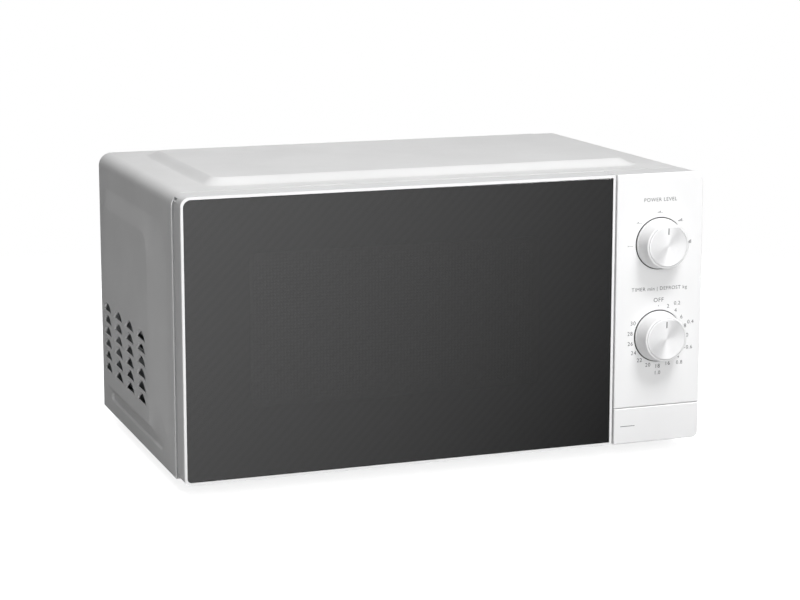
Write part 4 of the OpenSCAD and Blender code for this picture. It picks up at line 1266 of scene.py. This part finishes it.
def keep_node(name, width=0.25):
    """Keeps a CAD node as it is, with eased edges and its own material."""
    node = frame["nodes"][name]
    slot_name = node.data.materials[0].name.split(".")[0]
    node.data.materials.clear()
    node.data.materials.append(MATERIALS[slot_name])
    clear_normals(node.data)
    weld = node.modifiers.new("weld", "WELD")
    weld.merge_threshold = 2e-6
    whole = node.modifiers.new("whole faces", "DECIMATE")
    whole.decimate_type = "DISSOLVE"
    whole.angle_limit = math.radians(0.5)
    ease_edges(node, width)


build_glass()
build_door_plate()
build_screen()
build_film()
build_choke_cover()
build_panel()
build_button()
for knob_name, knob_z in (("power_knob", POWER_Z), ("timer_knob", TIMER_Z)):
    build_knob(knob_name, knob_z)
    build_cap(knob_name, knob_z)
    # painted shade: a dark ring in the gap behind each knob
    build_painted_shade_ring(knob_name, knob_z)
build_printing()
build_turntable()
build_wheels()
build_feet()
build_springs()
softened("oven_cavity", "cavity_shell", 0.3, cavity_picks())
softened("rear_panel", "rear_cover", 0.3, pan_picks())
for node_name, node in frame["nodes"].items():
    if not node.hide_render:
        keep_node(node_name)


# ---- Stage, light and camera ----

def build_floor():
    """A plain white floor that fades into the white room round it."""
    half = 4.0
    mesh = bpy.data.meshes.new("floor")
    mesh.from_pydata([(-half, -half, 0), (half, -half, 0), (half, half, 0), (-half, half, 0)], [], [[0, 1, 2, 3]])
    f = Finish("floor", (0.9, 0.9, 0.9), 0.8)
    away = f.node("ShaderNodeVectorMath", {0: f.space}, operation="LENGTH").outputs["Value"]
    f.drive("Base Color", f.ramp(f.remap(away, 0.2, 0.6, 0, 1), (0, (0.88, 0.88, 0.88)), (1, (0.92, 0.92, 0.92))))
    f.set("Emission Color", (1, 1, 1, 1)).set("Emission Strength", 0.8)
    dim = f.node("ShaderNodeBsdfDiffuse", {"Color": (0.5, 0.5, 0.5, 1)}).outputs[0]
    gone = f.node("ShaderNodeBsdfTransparent").outputs[0]
    path = f.node("ShaderNodeLightPath")
    ground = f.node("ShaderNodeMixShader", {0: path.outputs["Is Camera Ray"], 1: dim, 2: f.shader.outputs[0]})
    away_or_glossy = f.node(
        "ShaderNodeMath", {0: f.remap(away, 0.35, 1.0, 0, 1), 1: path.outputs["Is Glossy Ray"]}, operation="MAXIMUM")
    faded = f.node(
        "ShaderNodeMixShader", {0: away_or_glossy.outputs[0], 1: ground.outputs[0], 2: gone}).outputs[0]
    f.tree.links.new(faded, f.tree.nodes["Material Output"].inputs["Surface"])
    mesh.materials.append(f.material)
    floor = bpy.data.objects.new("floor", mesh)
    bpy.context.scene.collection.objects.link(floor)


def add_light(name, place, size, power, diffuse=True, glossy=True):
    """A soft box that faces the oven, and may be left out of what is lit or of what is mirrored."""
    data = bpy.data.lights.new(name, "AREA")
    data.shape = "RECTANGLE"
    data.size, data.size_y = size
    data.energy = power
    light = bpy.data.objects.new(name, data)
    light.location = place
    light.rotation_mode = "QUATERNION"
    light.rotation_quaternion = (Vector((0, 0, 0.11)) - Vector(place)).to_track_quat("-Z", "Y")
    light.visible_diffuse = diffuse
    light.visible_glossy = glossy
    bpy.context.scene.collection.objects.link(light)


def build_world():
    """A white room that lights the oven softly, with one bright wall in front of it."""
    world = bpy.data.worlds.new("studio")
    world.use_nodes = True
    tree = world.node_tree

    def node(kind, links, **settings):
        made = tree.nodes.new(kind)
        for name, value in settings.items():
            setattr(made, name, value)
        for socket, value in links.items():
            if isinstance(value, bpy.types.NodeSocket):
                tree.links.new(value, made.inputs[socket])
            else:
                made.inputs[socket].default_value = value
        return made

    way = node("ShaderNodeTexCoord", {}).outputs["Generated"]
    wall = Vector((-0.09, -0.99, 0.09)).normalized()
    towards = node("ShaderNodeVectorMath", {0: way, 1: wall}, operation="DOT_PRODUCT").outputs["Value"]
    glow = node(
        "ShaderNodeMapRange", {"Value": towards, "From Min": 0.785, "From Max": 0.935, "To Min": 0.07, "To Max": 2.65}).outputs["Result"]
    lighting = node("ShaderNodeBackground", {"Color": (1, 1, 1, 1), "Strength": glow}).outputs[0]
    backdrop = node("ShaderNodeBackground", {"Color": (1, 1, 1, 1), "Strength": 1.0}).outputs[0]
    seen = node("ShaderNodeLightPath", {}).outputs["Is Camera Ray"]
    mix = node("ShaderNodeMixShader", {0: seen, 1: lighting, 2: backdrop}).outputs[0]
    tree.links.new(mix, tree.nodes["World Output"].inputs[0])
    bpy.context.scene.world = world


def build_camera():
    """A long lens to the front left, a little above the oven."""
    azimuth, elevation = math.radians(-20.12), math.radians(9.8)
    data = bpy.data.cameras.new("camera")
    data.sensor_width = 36.0
    data.lens = 97.92
    data.shift_y = -0.0625
    data.clip_start, data.clip_end = 0.05, 50
    camera = bpy.data.objects.new("camera", data)
    back = Vector((
        math.sin(azimuth) * math.cos(elevation), -math.cos(azimuth) * math.cos(elevation), math.sin(elevation)))
    camera.location = at(-399.7, -1570.4, 462.7)
    camera.rotation_mode = "QUATERNION"
    camera.rotation_quaternion = (-back).to_track_quat("-Z", "Y")
    bpy.context.scene.collection.objects.link(camera)
    bpy.context.scene.camera = camera


build_floor()
build_world()
add_light("key", (0.34, -1.15, 1.9), (0.7, 0.7), 33, glossy=False)
add_light("fill", (-0.75, 0.1, 1.9), (0.7, 0.7), 7.5, glossy=False)
add_light("rear", (0.35, 1.7, 0.5), (0.8, 0.8), 10, glossy=False)
add_light("shine", (1.08, -1.36, 1.5), (0.9, 0.9), 70, diffuse=False)
build_camera()
bpy.context.scene.view_settings.view_transform = "Standard"
